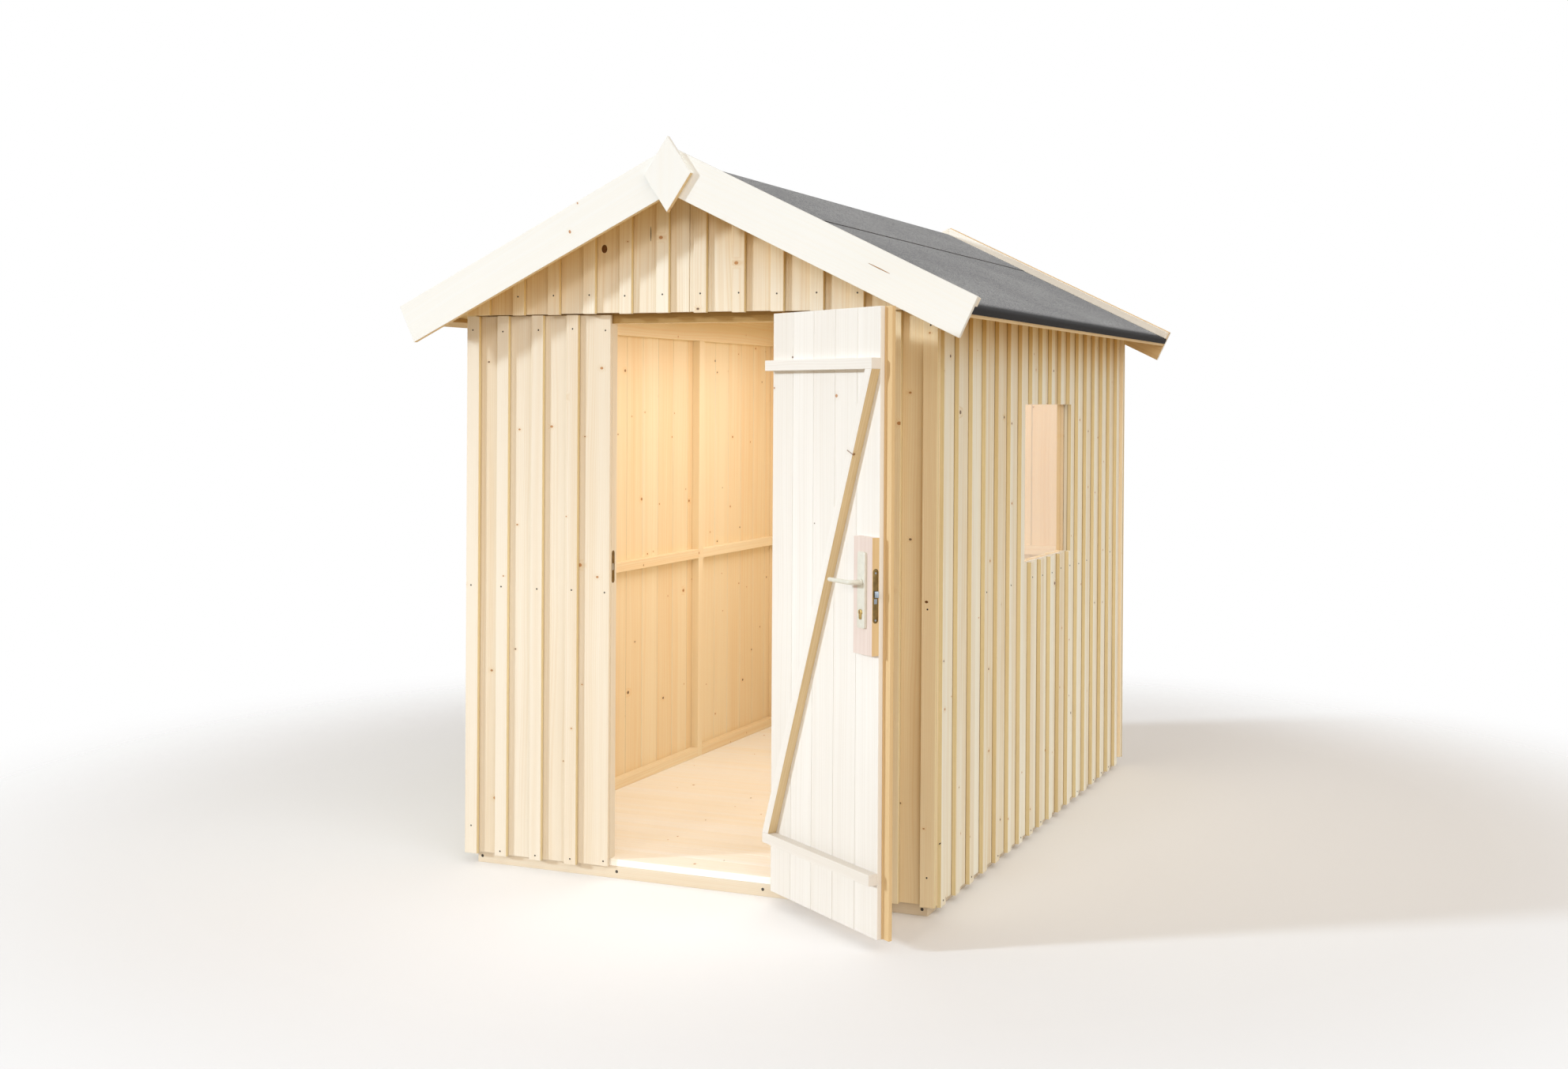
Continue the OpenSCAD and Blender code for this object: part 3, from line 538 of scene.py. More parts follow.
def spruce(name, pale, deep, knots, contrast, low_shade, roof_shade):
    """Planed spruce: growth rings round a far pith, fibres, drifting tone, small knots and painted shade.

    The attribute grain holds each timber's own place along, across and through its grain, tone
    its depth of colour, and foot is 1 where a batten meets its boards.
    """
    props = timber_props()
    made, nodes, shader = new_material(name)
    grain = nodes.attribute("grain", "Vector")
    along, across, through = nodes.split(grain)
    core, halo, dead = knot_pattern(nodes, along, across, knots)

    drift = nodes.noise(nodes.vector("MULTIPLY", grain, DRIFT_RATE), 1.0, 3.0)
    sideways = nodes.math("ADD", across, nodes.math("MULTIPLY_ADD", drift, RING_DRIFT, -RING_DRIFT / 2))
    squares = nodes.math("ADD", nodes.math("POWER", sideways, 2.0), nodes.math("POWER", through, 2.0))
    from_pith = nodes.math("SQRT", squares)
    ring_at = nodes.math("DIVIDE", nodes.math("MULTIPLY_ADD", halo, RING_BEND, from_pith), props.ring)
    swing = nodes.math("SINE", nodes.math("MULTIPLY", ring_at, math.tau))
    late = nodes.math("POWER", nodes.math("MULTIPLY_ADD", swing, 0.5, 0.5), RING_POWER)
    streak = nodes.join(nodes.math("MULTIPLY", from_pith, STREAK_ACROSS),
                        nodes.math("MULTIPLY", along, STREAK_ALONG), 0.0)
    band = nodes.noise(streak, 1.0, 3.0)
    fibre = nodes.noise(nodes.vector("MULTIPLY", grain, FIBRE_RATE), 1.0, 3.0, 0.6)
    cloud = nodes.noise(nodes.vector("MULTIPLY", grain, CLOUD_RATE), 1.0, 2.0)

    depth = nodes.math("MULTIPLY_ADD", late, RING_DEPTH * contrast, PALE_DEPTH)
    tone = nodes.attribute("tone", "Fac")
    depths = ((band, STREAK_DEPTH), (fibre, FIBRE_DEPTH), (cloud, CLOUD_DEPTH), (tone, TONE_DEPTH))
    for part, weight in depths:
        depth = nodes.math("MULTIPLY_ADD", nodes.math("SUBTRACT", part, 0.5), weight * contrast, depth)
    depth = nodes.math("MULTIPLY_ADD", halo, HALO_DEPTH, depth, clamp=True)
    tint = nodes.mix(depth, tuple(pale), tuple(deep))
    heart = nodes.mix(dead, tuple(props.knot), tuple(props.knot_dead))
    tint = nodes.mix(nodes.math("MULTIPLY", core, CORE_COVER), tint, heart)
    corner = nodes.remap(nodes.attribute("foot", "Fac"), FOOT_START, 1.0)
    shadow = nodes.math("MULTIPLY", corner, nodes.remap(cloud, *FOOT_CLOUDS, *FOOT_SHARES))
    tint = painted_shades(nodes, nodes.mix(shadow, tint, tuple(props.corner)), low_shade, roof_shade)

    low, high = nodes.math("MULTIPLY", late, RING_RELIEF), nodes.math("MULTIPLY", fibre, FIBRE_RELIEF)
    bump = nodes.add("ShaderNodeBump", {"Height": nodes.math("ADD", low, high), "Strength": WOOD_RELIEF,
                                        "Distance": WOOD_RELIEF_DEPTH})
    rough = nodes.math("MULTIPLY_ADD", fibre, FIBRE_ROUGH, WOOD_ROUGH)
    nodes.put(shader, {"Base Color": tint, "Roughness": rough, "Normal": bump.outputs[0],
                       "Specular IOR Level": WOOD_SHINE})
    return made


def wood(kind):
    """The material of one kind of timber, made once."""
    name = f"spruce {kind}"
    if name in bpy.data.materials:
        return bpy.data.materials[name]
    props = timber_props()
    pale, deep = getattr(props, f"{kind}_pale"), getattr(props, f"{kind}_deep")
    return spruce(name, pale, deep, KNOTS.get(kind, USUAL_KNOTS), CONTRAST.get(kind, 1.0),
                  LOW_SHADE.get(kind, USUAL_LOW_SHADE), 1.0 if kind in SHADED_UNDER_ROOF else 0.0)


def new_tree(name, *sockets):
    """A node group from geometry to geometry, with other inputs as pairs of a kind and a name."""
    tree = bpy.data.node_groups.new(name, "GeometryNodeTree")
    for kind, label in (("Geometry", "Geometry"), *sockets):
        tree.interface.new_socket(label, in_out="INPUT", socket_type=f"NodeSocket{kind}")
    tree.interface.new_socket("Geometry", in_out="OUTPUT", socket_type="NodeSocketGeometry")
    return tree


def named(nodes, name, kind="FLOAT_VECTOR"):
    """Value of a named attribute."""
    return nodes.add("GeometryNodeInputNamedAttribute", {"Name": name}, data_type=kind).outputs["Attribute"]


def named_turn(nodes):
    """Rotation that the attribute turn holds as three angles."""
    return nodes.add("FunctionNodeEulerToRotation", {0: named(nodes, "turn")}).outputs[0]


def store(nodes, geometry, name, value, kind="FLOAT_VECTOR"):
    """Geometry with a value kept as a named attribute of its points."""
    inputs = {"Geometry": geometry, "Name": name, "Value": value}
    return nodes.add("GeometryNodeStoreNamedAttribute", inputs, data_type=kind, domain="POINT").outputs[0]


def timber_tree():
    """Node group that puts a board on each point, under the roof, with its own grain."""
    name = "Shed timbers"
    if name in bpy.data.node_groups:
        return bpy.data.node_groups[name]
    tree = new_tree(name, ("Int", "Seed"), ("Float", "Roof Peak"), ("Float", "Roof Fall"),
                    ("Material", "Material"))
    nodes = Nodes(tree)
    given = nodes.add("NodeGroupInput").outputs
    index = nodes.add("GeometryNodeInputIndex").outputs[0]
    place = nodes.add("GeometryNodeInputPosition").outputs[0]

    seed = nodes.math("ADD", given["Seed"], 1)
    inputs = {0: GRAIN_FROM, 1: GRAIN_TO, 7: index, 8: seed}
    shift = nodes.add("FunctionNodeRandomValue", inputs, data_type="FLOAT_VECTOR").outputs[0]
    seed = nodes.math("ADD", given["Seed"], 2)
    inputs = {2: 0.0, 3: TONE_PLAY, 7: index, 8: seed}
    luck = nodes.add("FunctionNodeRandomValue", inputs, data_type="FLOAT").outputs[1]
    tone = nodes.math("ADD", luck, nodes.split(named(nodes, "tint"))[0])
    points = store(nodes, given["Geometry"], "centre", place)
    points = store(nodes, points, "shift", shift)
    points = store(nodes, points, "tone", tone, "FLOAT")
    block = nodes.add("GeometryNodeMeshCube", {"Size": (1.0, 1.0, 1.0)}).outputs[0]
    inputs = {"Points": points, "Instance": block, "Rotation": named_turn(nodes),
              "Scale": named(nodes, "size")}
    boards = nodes.add("GeometryNodeInstanceOnPoints", inputs).outputs[0]
    boards = nodes.add("GeometryNodeRealizeInstances", {0: boards}).outputs[0]

    x, y, z = nodes.split(place)
    fall = nodes.math("MULTIPLY", nodes.math("ABSOLUTE", x), given["Roof Fall"])
    roof = nodes.math("SUBTRACT", given["Roof Peak"], fall)
    under = nodes.join(x, y, nodes.math("MINIMUM", z, roof))
    boards = nodes.add("GeometryNodeSetPosition", {"Geometry": boards, "Position": under}).outputs[0]

    back = nodes.add("FunctionNodeInvertRotation", {0: named_turn(nodes)}).outputs[0]
    inputs = {"Vector": nodes.vector("SUBTRACT", place, named(nodes, "centre")), "Rotation": back}
    inner = nodes.add("FunctionNodeRotateVector", inputs).outputs[0]
    boards = store(nodes, boards, "grain", nodes.vector("ADD", inner, named(nodes, "shift")))
    hidden = nodes.math("MULTIPLY", nodes.split(inner)[2], nodes.split(named(nodes, "tint"))[1])
    boards = store(nodes, boards, "foot", nodes.math("GREATER_THAN", hidden, 0.0), "FLOAT")
    inputs = {"Geometry": boards, "Material": given["Material"]}
    boards = nodes.add("GeometryNodeSetMaterial", inputs).outputs[0]
    nodes.add("NodeGroupOutput", {0: boards})
    return tree


def run_tree(obj, tree, **values):
    """Adds a node group to obj as a modifier, with its inputs set; a name has underscores for spaces."""
    modifier = obj.modifiers.new(tree.name, "NODES")
    modifier.node_group = tree
    for item in tree.interface.items_tree:
        key = item.name.replace(" ", "_")
        if item.in_out == "INPUT" and key in values:
            modifier[item.identifier] = values[key]


def point_mesh(name, centres, **attributes):
    """Mesh of loose points with vector attributes."""
    mesh = bpy.data.meshes.new(name)
    mesh.from_pydata(centres, [], [])
    for key, vectors in attributes.items():
        layer = mesh.attributes.new(key, "FLOAT_VECTOR", "POINT")
        layer.data.foreach_set("vector", [c for v in vectors for c in v])
    return mesh


class Boards:
    """Straight boards of one piece: a centre, a size along, across and through the grain, and a turn."""

    def __init__(self, turn=None):
        self.turn = turn or Matrix.Identity(4)
        self.centres, self.sizes, self.turns, self.tints = [], [], [], []

    def add(self, centre, size, along, across, tint=0.1, foot=None):
        """One board along and across two unit vectors.

        A higher tint is deeper in colour, and a batten's foot is the way to its boards.
        """
        through = along.cross(across)
        axes = Matrix((along, across, through)).transposed()
        self.centres.append(self.turn @ Vector(centre))
        self.sizes.append(size)
        self.turns.append((self.turn.to_3x3() @ axes).to_euler())
        self.tints.append((tint, through.dot(foot) if foot else 0.0, 0.0))

    def build(self, name, kind, seed, peak=NO_ROOF, fall=0.0):
        """The finished mesh of all the boards."""
        props = timber_props()
        points = point_mesh(name, self.centres, size=self.sizes, turn=self.turns, tint=self.tints)
        obj = new_object(name, points)
        run_tree(obj, timber_tree(), Seed=props.seed * 1000 + seed, Roof_Peak=peak, Roof_Fall=fall,
                 Material=wood(kind))
        round_edges(obj, props.edge)
        return plain_mesh(obj)


def repaint(obj, kind, chosen):
    """Gives the faces of obj that are chosen another kind of wood."""
    obj.data.materials.append(wood(kind))
    last = len(obj.data.materials) - 1
    for face in obj.data.polygons:
        if chosen(face):
            face.material_index = last


def line_with(obj, kind, outward):
    """Gives the faces of obj that look one way another kind of wood."""
    repaint(obj, kind, lambda face: face.normal.dot(outward) > FACING)


def loose_parts(bm):
    """Corners of each timber that isn't joined to the others, in the order of their first corners."""
    parts = []
    seen = set()
    for start in bm.verts:
        if start in seen:
            continue
        part = [start]
        seen.add(start)
        for vert in part:
            others = [edge.other_vert(vert) for edge in vert.link_edges]
            fresh = [other for other in others if other not in seen]
            seen.update(fresh)
            part += fresh
        parts.append(part)
    return parts


def grain_axes(part, along):
    """Ways along, across and through a timber's grain: along is given, or is that of the longest edge."""
    edges = list(dict.fromkeys(edge for vert in part for edge in vert.link_edges))
    ways = [edge.verts[1].co - edge.verts[0].co for edge in edges]
    ways.sort(key=lambda reach: -round(reach.length, 6))
    along = along or ways[0].normalized()
    flat = next(reach for reach in ways if abs(reach.normalized().dot(along)) < CROSSING)
    across = (flat - along * flat.dot(along)).normalized()
    return along, across, along.cross(across)


def dressed(node, kind, along=None):
    """Timbers shaped as their solid is, with rounded edges and the grain along each one."""
    props = timber_props()
    bm = merged(node)
    luck = random.Random(f"{node} {props.seed}")
    grain = bm.verts.layers.float_vector.new("grain")
    tone = bm.verts.layers.float.new("tone")
    for part in loose_parts(bm):
        axes = grain_axes(part, along)
        centre = sum((v.co for v in part), Vector()) / len(part)
        shift = Vector([luck.uniform(*ends) for ends in zip(GRAIN_FROM, GRAIN_TO)])
        depth = luck.random()
        for vert in part:
            vert[grain] = Vector([axis.dot(vert.co - centre) for axis in axes]) + shift
            vert[tone] = depth
    for face in bm.faces:
        face.smooth = False
    obj = modelled(node, bm, wood(kind))
    round_edges(obj, props.edge)
    return plain_mesh(obj)


# Nails


# Corners of a nail's head, and its top's share of its width.
NAIL_CORNERS, NAIL_TOP = 10, 0.72


def nail_tree():
    """Node group that puts a nail's head on each point."""
    name = "Shed nails"
    if name in bpy.data.node_groups:
        return bpy.data.node_groups[name]
    tree = new_tree(name, ("Float", "Head Diameter"), ("Float", "Head Height"), ("Material", "Material"))
    nodes = Nodes(tree)
    given = nodes.add("NodeGroupInput").outputs
    radius = nodes.math("MULTIPLY", given["Head Diameter"], 0.5)
    inputs = {"Vertices": NAIL_CORNERS, "Radius Bottom": radius, "Depth": given["Head Height"],
              "Radius Top": nodes.math("MULTIPLY", radius, NAIL_TOP)}
    head = nodes.add("GeometryNodeMeshCone", inputs).outputs[0]
    inputs = {"Points": given["Geometry"], "Instance": head, "Rotation": named_turn(nodes)}
    heads = nodes.add("GeometryNodeInstanceOnPoints", inputs).outputs[0]
    heads = nodes.add("GeometryNodeRealizeInstances", {0: heads}).outputs[0]
    inputs = {"Geometry": heads, "Material": given["Material"]}
    heads = nodes.add("GeometryNodeSetMaterial", inputs).outputs[0]
    nodes.add("NodeGroupOutput", {0: heads})
    return tree


class Nails:
    """Nail heads of one body, on its outer faces."""

    def __init__(self, play):
        self.play = play
        self.centres, self.turns = [], []
        self.luck = random.Random(f"nails {timber_props().seed}")

    def add(self, place, outward):
        """A nail at a place on a face, a little off its mark."""
        sideways = outward.orthogonal().normalized()
        other = outward.cross(sideways)
        offs = [direction * self.luck.uniform(-self.play, self.play) for direction in (sideways, other)]
        self.centres.append(Vector(place) + offs[0] + offs[1])
        self.turns.append(outward.to_track_quat("Z", "Y").to_euler())

    def build(self, name, diameter, material):
        """The finished mesh of all the heads."""
        obj = new_object(name, point_mesh(name, self.centres, turn=self.turns))
        run_tree(obj, nail_tree(), Head_Diameter=diameter, Material=material,
                 Head_Height=bpy.context.scene.shed_iron.nail_proud)
        return plain_mesh(obj)


# Metal, felt and glass

PANE_TINT = (0.90, 0.87, 0.83, 1)
PANE_EDGE = 0.0006
# How often dust on the pane changes in a metre, how rough it is at most, and how the pane bends light.
DUST_RATE, DUST_ROUGH, PANE_BENDS = 7.0, 0.03, 1.25
# How often metal is mottled and brushed in a metre, and the mottling's dark and light ends.
MOTTLE_RATE, BRUSH_RATE, MOTTLE_ENDS = 60.0, (900.0, 900.0, 90.0), (0.3, 0.7)
# How much a metal's roughness changes, and the strength and depth of its relief.
METAL_PLAY, METAL_RELIEF, METAL_RELIEF_DEPTH = 0.16, 0.06, 0.0003
# Paler patches of felt: how often in a metre, their ends and their strength; then the same of darker clouds.
PATCH_RATE, PATCH_ENDS, PATCH_SHARE = 90.0, (0.35, 0.7), 0.35
SMUDGE_RATE, SMUDGE_ENDS, SMUDGE_SHARE = (3.0, 1.2, 3.0), (0.3, 0.75), 0.30
# How often the felt's painted edge shade is ragged in a metre, how much, and where it starts and is whole.
RAGGED_RATE, RAGGED_PLAY, RAGGED_ENDS = 110.0, 0.3, (0.12, 0.9)
# Roughness and shine of felt, and the strength and depth of its relief.
FELT_ROUGH, FELT_SHINE, FELT_RELIEF, FELT_RELIEF_DEPTH = 0.92, 0.2, 0.5, 0.0008


def worn_metal(name, tint, metallic, rough, speckle=0.12):
    """Metal or enamel with a finely mottled, faintly brushed surface, made once."""
    if name in bpy.data.materials:
        return bpy.data.materials[name]
    made, nodes, shader = new_material(name)
    place = nodes.place()
    cloud = nodes.remap(nodes.noise(place, MOTTLE_RATE, 3.0), *MOTTLE_ENDS)
    fine = nodes.noise(nodes.vector("MULTIPLY", place, BRUSH_RATE), 1.0, 2.0)
    dark = tuple(c * (1 - 2 * speckle) for c in tint)
    light = tuple(min(1.0, c * (1 + speckle)) for c in tint)
    bump = nodes.add("ShaderNodeBump", {"Height": fine, "Strength": METAL_RELIEF,
                                        "Distance": METAL_RELIEF_DEPTH})
    nodes.put(shader, {"Base Color": nodes.mix(cloud, dark, light), "Metallic": metallic,
                       "Roughness": nodes.math("MULTIPLY_ADD", fine, METAL_PLAY, rough - METAL_PLAY / 2),
                       "Normal": bump.outputs[0]})
    return made


def felt_material():
    """Mineral-surfaced felt, made once: grey and darker grains, faint clouds and painted shade at its edge.

    An attribute of the mesh is 1 where the felt's edge gets its painted shade.
    """
    name = "mineral felt"
    if name in bpy.data.materials:
        return bpy.data.materials[name]
    props = bpy.context.scene.shed_roofing
    pale, dark = tuple(props.felt), tuple(props.felt_dark)
    made, nodes, shader = new_material(name)
    place = nodes.place()
    grains = nodes.add("ShaderNodeTexVoronoi", {"Vector": place, "Scale": 1 / props.grain})
    tint = nodes.mix(nodes.split(grains.outputs["Color"])[0], dark, pale)
    coarse = nodes.remap(nodes.noise(place, PATCH_RATE, 3.0), *PATCH_ENDS)
    tint = nodes.mix(nodes.math("MULTIPLY", coarse, PATCH_SHARE), tint, pale)
    cloud = nodes.noise(nodes.vector("MULTIPLY", place, SMUDGE_RATE), 1.0, 4.0)
    smudge = nodes.math("MULTIPLY", nodes.remap(cloud, *SMUDGE_ENDS), SMUDGE_SHARE)
    tint = nodes.mix(smudge, tint, dark)
    wander = nodes.math("MULTIPLY_ADD", nodes.noise(place, RAGGED_RATE, 3.0), RAGGED_PLAY, -RAGGED_PLAY / 2)
    ragged = nodes.math("ADD", nodes.attribute("cut", "Fac"), wander)
    tint = nodes.mix(nodes.remap(ragged, *RAGGED_ENDS), tint, tuple(props.felt_cut))
    height = nodes.math("SUBTRACT", 1.0, grains.outputs["Distance"])
    bump = nodes.add("ShaderNodeBump", {"Height": height, "Strength": FELT_RELIEF,
                                        "Distance": FELT_RELIEF_DEPTH})
    nodes.put(shader, {"Base Color": tint, "Roughness": FELT_ROUGH, "Normal": bump.outputs[0],
                       "Specular IOR Level": FELT_SHINE})
    return made


def glass_material():
    """Clear pane with a little dust."""
    made, nodes, shader = new_material("clear pane")
    dust_and_low_shade = nodes.math("MULTIPLY", nodes.noise(nodes.place(), DUST_RATE, 4.0), DUST_ROUGH)
    nodes.put(shader, {"Base Color": PANE_TINT, "Roughness": dust_and_low_shade, "Transmission Weight": 1.0,
                       "IOR": PANE_BENDS})
    return made


# Boards side by side

# Share of the usual joint that stays open between tongued boards.
TONGUED = 0.6
# Seeds of the pieces that are laid in boards, apart from the walls, which count from 1.
SEEDS = {"floor_beams": 40, "floor_boards": 41, "roof_boards_right": 50, "roof_boards_left": 51,
         "door_leaf_boards": 60}


def evenly(start, end, wish):
    """Middles and width of the boards that fill a run, each about as wide as wished."""
    count = round((end - start) / wish)
    width = (end - start) / count
    return [start + (k + 0.5) * width for k in range(count)], width


# Walls

# The way along each wall and the way out of it.
WALLS = {"front": (X, -Y), "back": (X, Y), "left": (Y, -X), "right": (Y, X)}
WINDOW_PANEL, PLAIN_PANEL = "right_panel_middle", "left_panel_middle"
# Panels with a wood of their own, the one behind the open door with its shadow painted in, and how
# much deeper the boards of some woods are, partly the wood's own tone and partly painted recess shade.
PANEL_WOOD = {"front_panel_left": "front", "front_panel_right": "warm", "front_gable": "gable"}
DEEPER = {"front": 0.3, "gable": 0.3, "warm": 0.2}
# Least width of a board, of the last board of a panel, and of what a split leaves.
LEAST_BOARD, LEAST_LAST, LEAST_SPLIT = 0.06, 0.04, 0.01
# Shares of the end play by which boards and battens end above the panel's foot.
BOARD_ENDS, BATTEN_ENDS = (0.7, 1.3), (0.0, 0.6)
# Faces round the window that get painted light lie within this distance of its opening.
LIT_EDGE_WITHIN = 0.003


class Cladding:
    """Boards and battens of one panel, read from its solid.

    Face is where the boards end outwards, and outer is where the battens do. The window's
    panel is read from the plain one that faces it.
    """

    def __init__(self, node, wall):
        self.run, self.out = WALLS[wall]
        places = points_of(node)
        if node == WINDOW_PANEL:
            places = [Vector((-p.x, p.y, p.z)) for p in points_of(PLAIN_PANEL)]
        runs = [p.dot(self.run) for p in places]
        heights = [p.z for p in places]
        outs = distinct(p.dot(self.out) for p in places)
        self.start, self.end = min(runs), max(runs)
        self.low, self.high = min(heights), max(heights)
        self.inner, self.face, self.outer = outs[0], outs[1] - timber_props().recess, outs[-1]
        outermost = [p for p in places if p.dot(self.out) > self.outer - NEAR]
        self.battens = pairs(distinct(p.dot(self.run) for p in outermost))

    def at(self, run, out, z):
        """Place on the wall."""
        return self.run * run + self.out * out + Z * z

    def boards(self, split=None):
        """Runs of the boards, which meet behind the battens and, if it is given, at a split."""
        joints = [self.start]
        for first, last in self.battens:
            middle = (first + last) / 2
            if middle - joints[-1] > LEAST_BOARD and self.end - middle > LEAST_LAST:
                joints.append(middle)
        joints.append(self.end)
        if split is not None and all(abs(split - joint) > LEAST_SPLIT for joint in joints):
            joints.append(split)
        joints.sort()
        return list(zip(joints, joints[1:]))

    def lay(self, boards, span, layer, low, tint, hole, ease=0.0, foot=None):
        """Adds an upright board from low to the top, less the hole, with its own two edges eased."""
        for first, last, bottom, top in without(span, low, self.high, hole):
            left = first + ease * (first == span[0])
            right = last - ease * (last == span[1])
            middle = self.at((left + right) / 2, sum(layer) / 2, (bottom + top) / 2)
            size = (top - bottom, right - left, layer[1] - layer[0])
            boards.add(middle, size, Z, self.run, tint, foot)


def without(span, low, high, hole):
    """What a hole leaves of an upright board; the hole and each part are two runs and two heights."""
    first, last = span
    if not hole or last <= hole[0] or first >= hole[1]:
        return [(first, last, low, high)]
    run0, run1, z0, z1 = hole
    parts = []
    if first < run0:
        parts.append((first, run0, low, high))
    if last > run1:
        parts.append((run1, last, low, high))
    middle = max(first, run0), min(last, run1)
    return parts + [(*middle, low, z0), (*middle, z1, high)]


def window_hole():
    """Runs and heights of the window's opening, read from the solid of its panel."""
    places = points_of(WINDOW_PANEL)
    inner = min(p.x for p in places)
    inside = [p for p in places if abs(p.x - inner) < NEAR]
    runs = distinct(p.y for p in inside)
    heights = distinct(p.z for p in inside)
    return runs[1], runs[-2], heights[1], heights[-2]


def paint_batten_side_shade(obj, panel):
    """Gives the narrow sides of the battens a deeper wood, painted shade on these sides."""

    def narrow(face):
        return abs(face.normal.dot(panel.run)) > FACING and face.center.dot(panel.out) > panel.face

    repaint(obj, "sawn", narrow)


def paint_light_round_hole(obj, hole):
    """Gives the faces round a hole in the right wall a paler wood, painted light on these edges."""
    lows, highs = (hole[0], hole[2]), (hole[1], hole[3])

    def sawn(face):
        places = face.center.yz
        within = all(a - LIT_EDGE_WITHIN < p < b + LIT_EDGE_WITHIN for a, p, b in zip(lows, places, highs))
        return within and abs(face.normal.x) < FACING

    repaint(obj, "cut", sawn)


def clad(node, wall, seed, peak=NO_ROOF, fall=0.0, hole=None, split=None):
    """Boards and battens of one panel as one piece."""
    props = timber_props()
    luck = random.Random(f"{node} {props.seed}")
    kind = PANEL_WOOD.get(node, "side")
    tint = props.board_depth + DEEPER.get(kind, 0.0)
    panel = Cladding(node, wall)
    boards = Boards()
    for span in panel.boards(split):
        low = panel.low + luck.uniform(*BOARD_ENDS) * props.end_play
        panel.lay(boards, span, (panel.inner, panel.face), low, tint, hole, ease=props.joint / 2)
    for span in panel.battens:
        low = panel.low + luck.uniform(*BATTEN_ENDS) * props.end_play
        panel.lay(boards, span, (panel.face, panel.outer), low, 0.0, hole, foot=-panel.out)
    obj = boards.build(node, kind, seed, peak, fall)
    line_with(obj, "room", -panel.out)
    paint_batten_side_shade(obj, panel)
    if hole:
        paint_light_round_hole(obj, hole)
    hand_over(obj, "shed", "wall_board", node)


class SHED_OT_walls(Operator):
    """Lays the boards and battens of the four walls and the gables"""

    bl_idname = "shed.walls"
    bl_label = "Walls"

    def execute(self, context):
        panels = sorted(node for node in frame["nodes"] if "_panel_" in node)
        for seed, node in enumerate(panels, 1):
            wall = node.split("_")[0]
            clad(node, wall, seed, hole=window_hole() if node == WINDOW_PANEL else None)
        for seed, wall in enumerate(("front", "back"), len(panels) + 1):
            node = f"{wall}_gable"
            corners = points_of(node)
            peak = max(p.z for p in corners)
            half = max(p.x for p in corners)
            shoulder = max(p.z for p in corners if p.x > half - NEAR)
            clad(node, wall, seed, peak, (peak - shoulder) / half, split=0.0)
        return {"FINISHED"}


class SHED_OT_frames(Operator):
    """Dresses the studs, rails, rafters and the ridge beam"""

    bl_idname = "shed.frames"
    bl_label = "Wall and roof frames"

    def execute(self, context):
        # Painted shade on the head rail's front, and painted light on the right studs' fronts.
        linings = {"front_rails": "rail", "right_studs": "cut"}
        for node in sorted(frame["nodes"]):
            if node.endswith(("_studs", "_rails", "_rafters", "_stops")) or node == "ridge_beam":
                obj = dressed(node, "front" if node == "front_studs" else "room")
                if node in linings:
                    line_with(obj, linings[node], -Y)
                hand_over(obj, "shed", "frame_timber", node)
        return {"FINISHED"}


class SHED_OT_floor(Operator):
    """Lays the floor beams and boards"""

    bl_idname = "shed.floor"
    bl_label = "Floor"

    def execute(self, context):
        self.lay_beams()
        self.lay_deck()
        return {"FINISHED"}

    def lay_beams(self):
        """Two beams across the shed, at the front and the back, and those between them."""
        low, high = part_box("floor_frame")
        corners = points_of("floor_frame")
        depths = distinct(p.y for p in corners)
        wide, thick = high.x - low.x, high.z - low.z
        beams = Boards()
        for y0, y1 in (depths[:2], depths[-2:]):
            beams.add(((low.x + high.x) / 2, (y0 + y1) / 2, thick / 2), (wide, y1 - y0, thick), X, Y)
        y0, y1 = depths[1], depths[-2]
        for x0, x1 in pairs(distinct(p.x for p in corners)):
            beams.add(((x0 + x1) / 2, (y0 + y1) / 2, thick / 2), (y1 - y0, x1 - x0, thick), Y, X)
        obj = beams.build("floor_beams", "front", SEEDS["floor_beams"])
        hand_over(obj, "shed", "frame_timber", "floor_frame")

    def lay_deck(self):
        """Tongued boards across the shed."""
        props = timber_props()
        low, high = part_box("floor_deck")
        middles, width = evenly(low.y, high.y, props.floor_board)
        size = (high.x - low.x, width - props.joint * TONGUED, high.z - low.z)
        deck = Boards()
        for y in middles:
            deck.add(((low.x + high.x) / 2, y, (low.z + high.z) / 2), size, X, Y)
        obj = deck.build("floor_boards", "floor", SEEDS["floor_boards"])
        hand_over(obj, "shed", "floor_board", "floor_deck")


class SHED_OT_window(Operator):
    """Makes the clear pane"""

    bl_idname = "shed.window"
    bl_label = "Window pane"

    def execute(self, context):
        pane = modelled("clear_pane", merged("window_pane"), glass_material())
        round_edges(pane, PANE_EDGE)
        hand_over(plain_mesh(pane), "shed", "window_glass", "window_pane")
        return {"FINISHED"}


# Roof

# The side of the rhombus on the peak that is in the shade.
COVER_SHADE = (X - Z * 0.6).normalized()
# Cells in a metre of the noise that lifts the felt.
FELT_WAVES = (3.1, 2.3, 2.0)
# Above a slope's fold: where the even steps end, and where painted shade darkens the felt and how much.
FELT_EVEN_END = 0.090
FELT_DARKENS = ((0.060, 0.15), (0.035, 0.45), (0.014, 0.8))
# In thicknesses of the felt: how high the sheets lie before they lift, and how round their fold is.
FELT_LAID, FELT_BEND = 0.8, 2.8
# The ridge's sheet starts so many thicknesses above the boards, and lies at this share of its height.
RIDGE_BASE, RIDGE_LAID = 1.1, 0.9
FELT_STEPS, BEND_STEPS, RIDGE_STEPS = 24, 5, 8


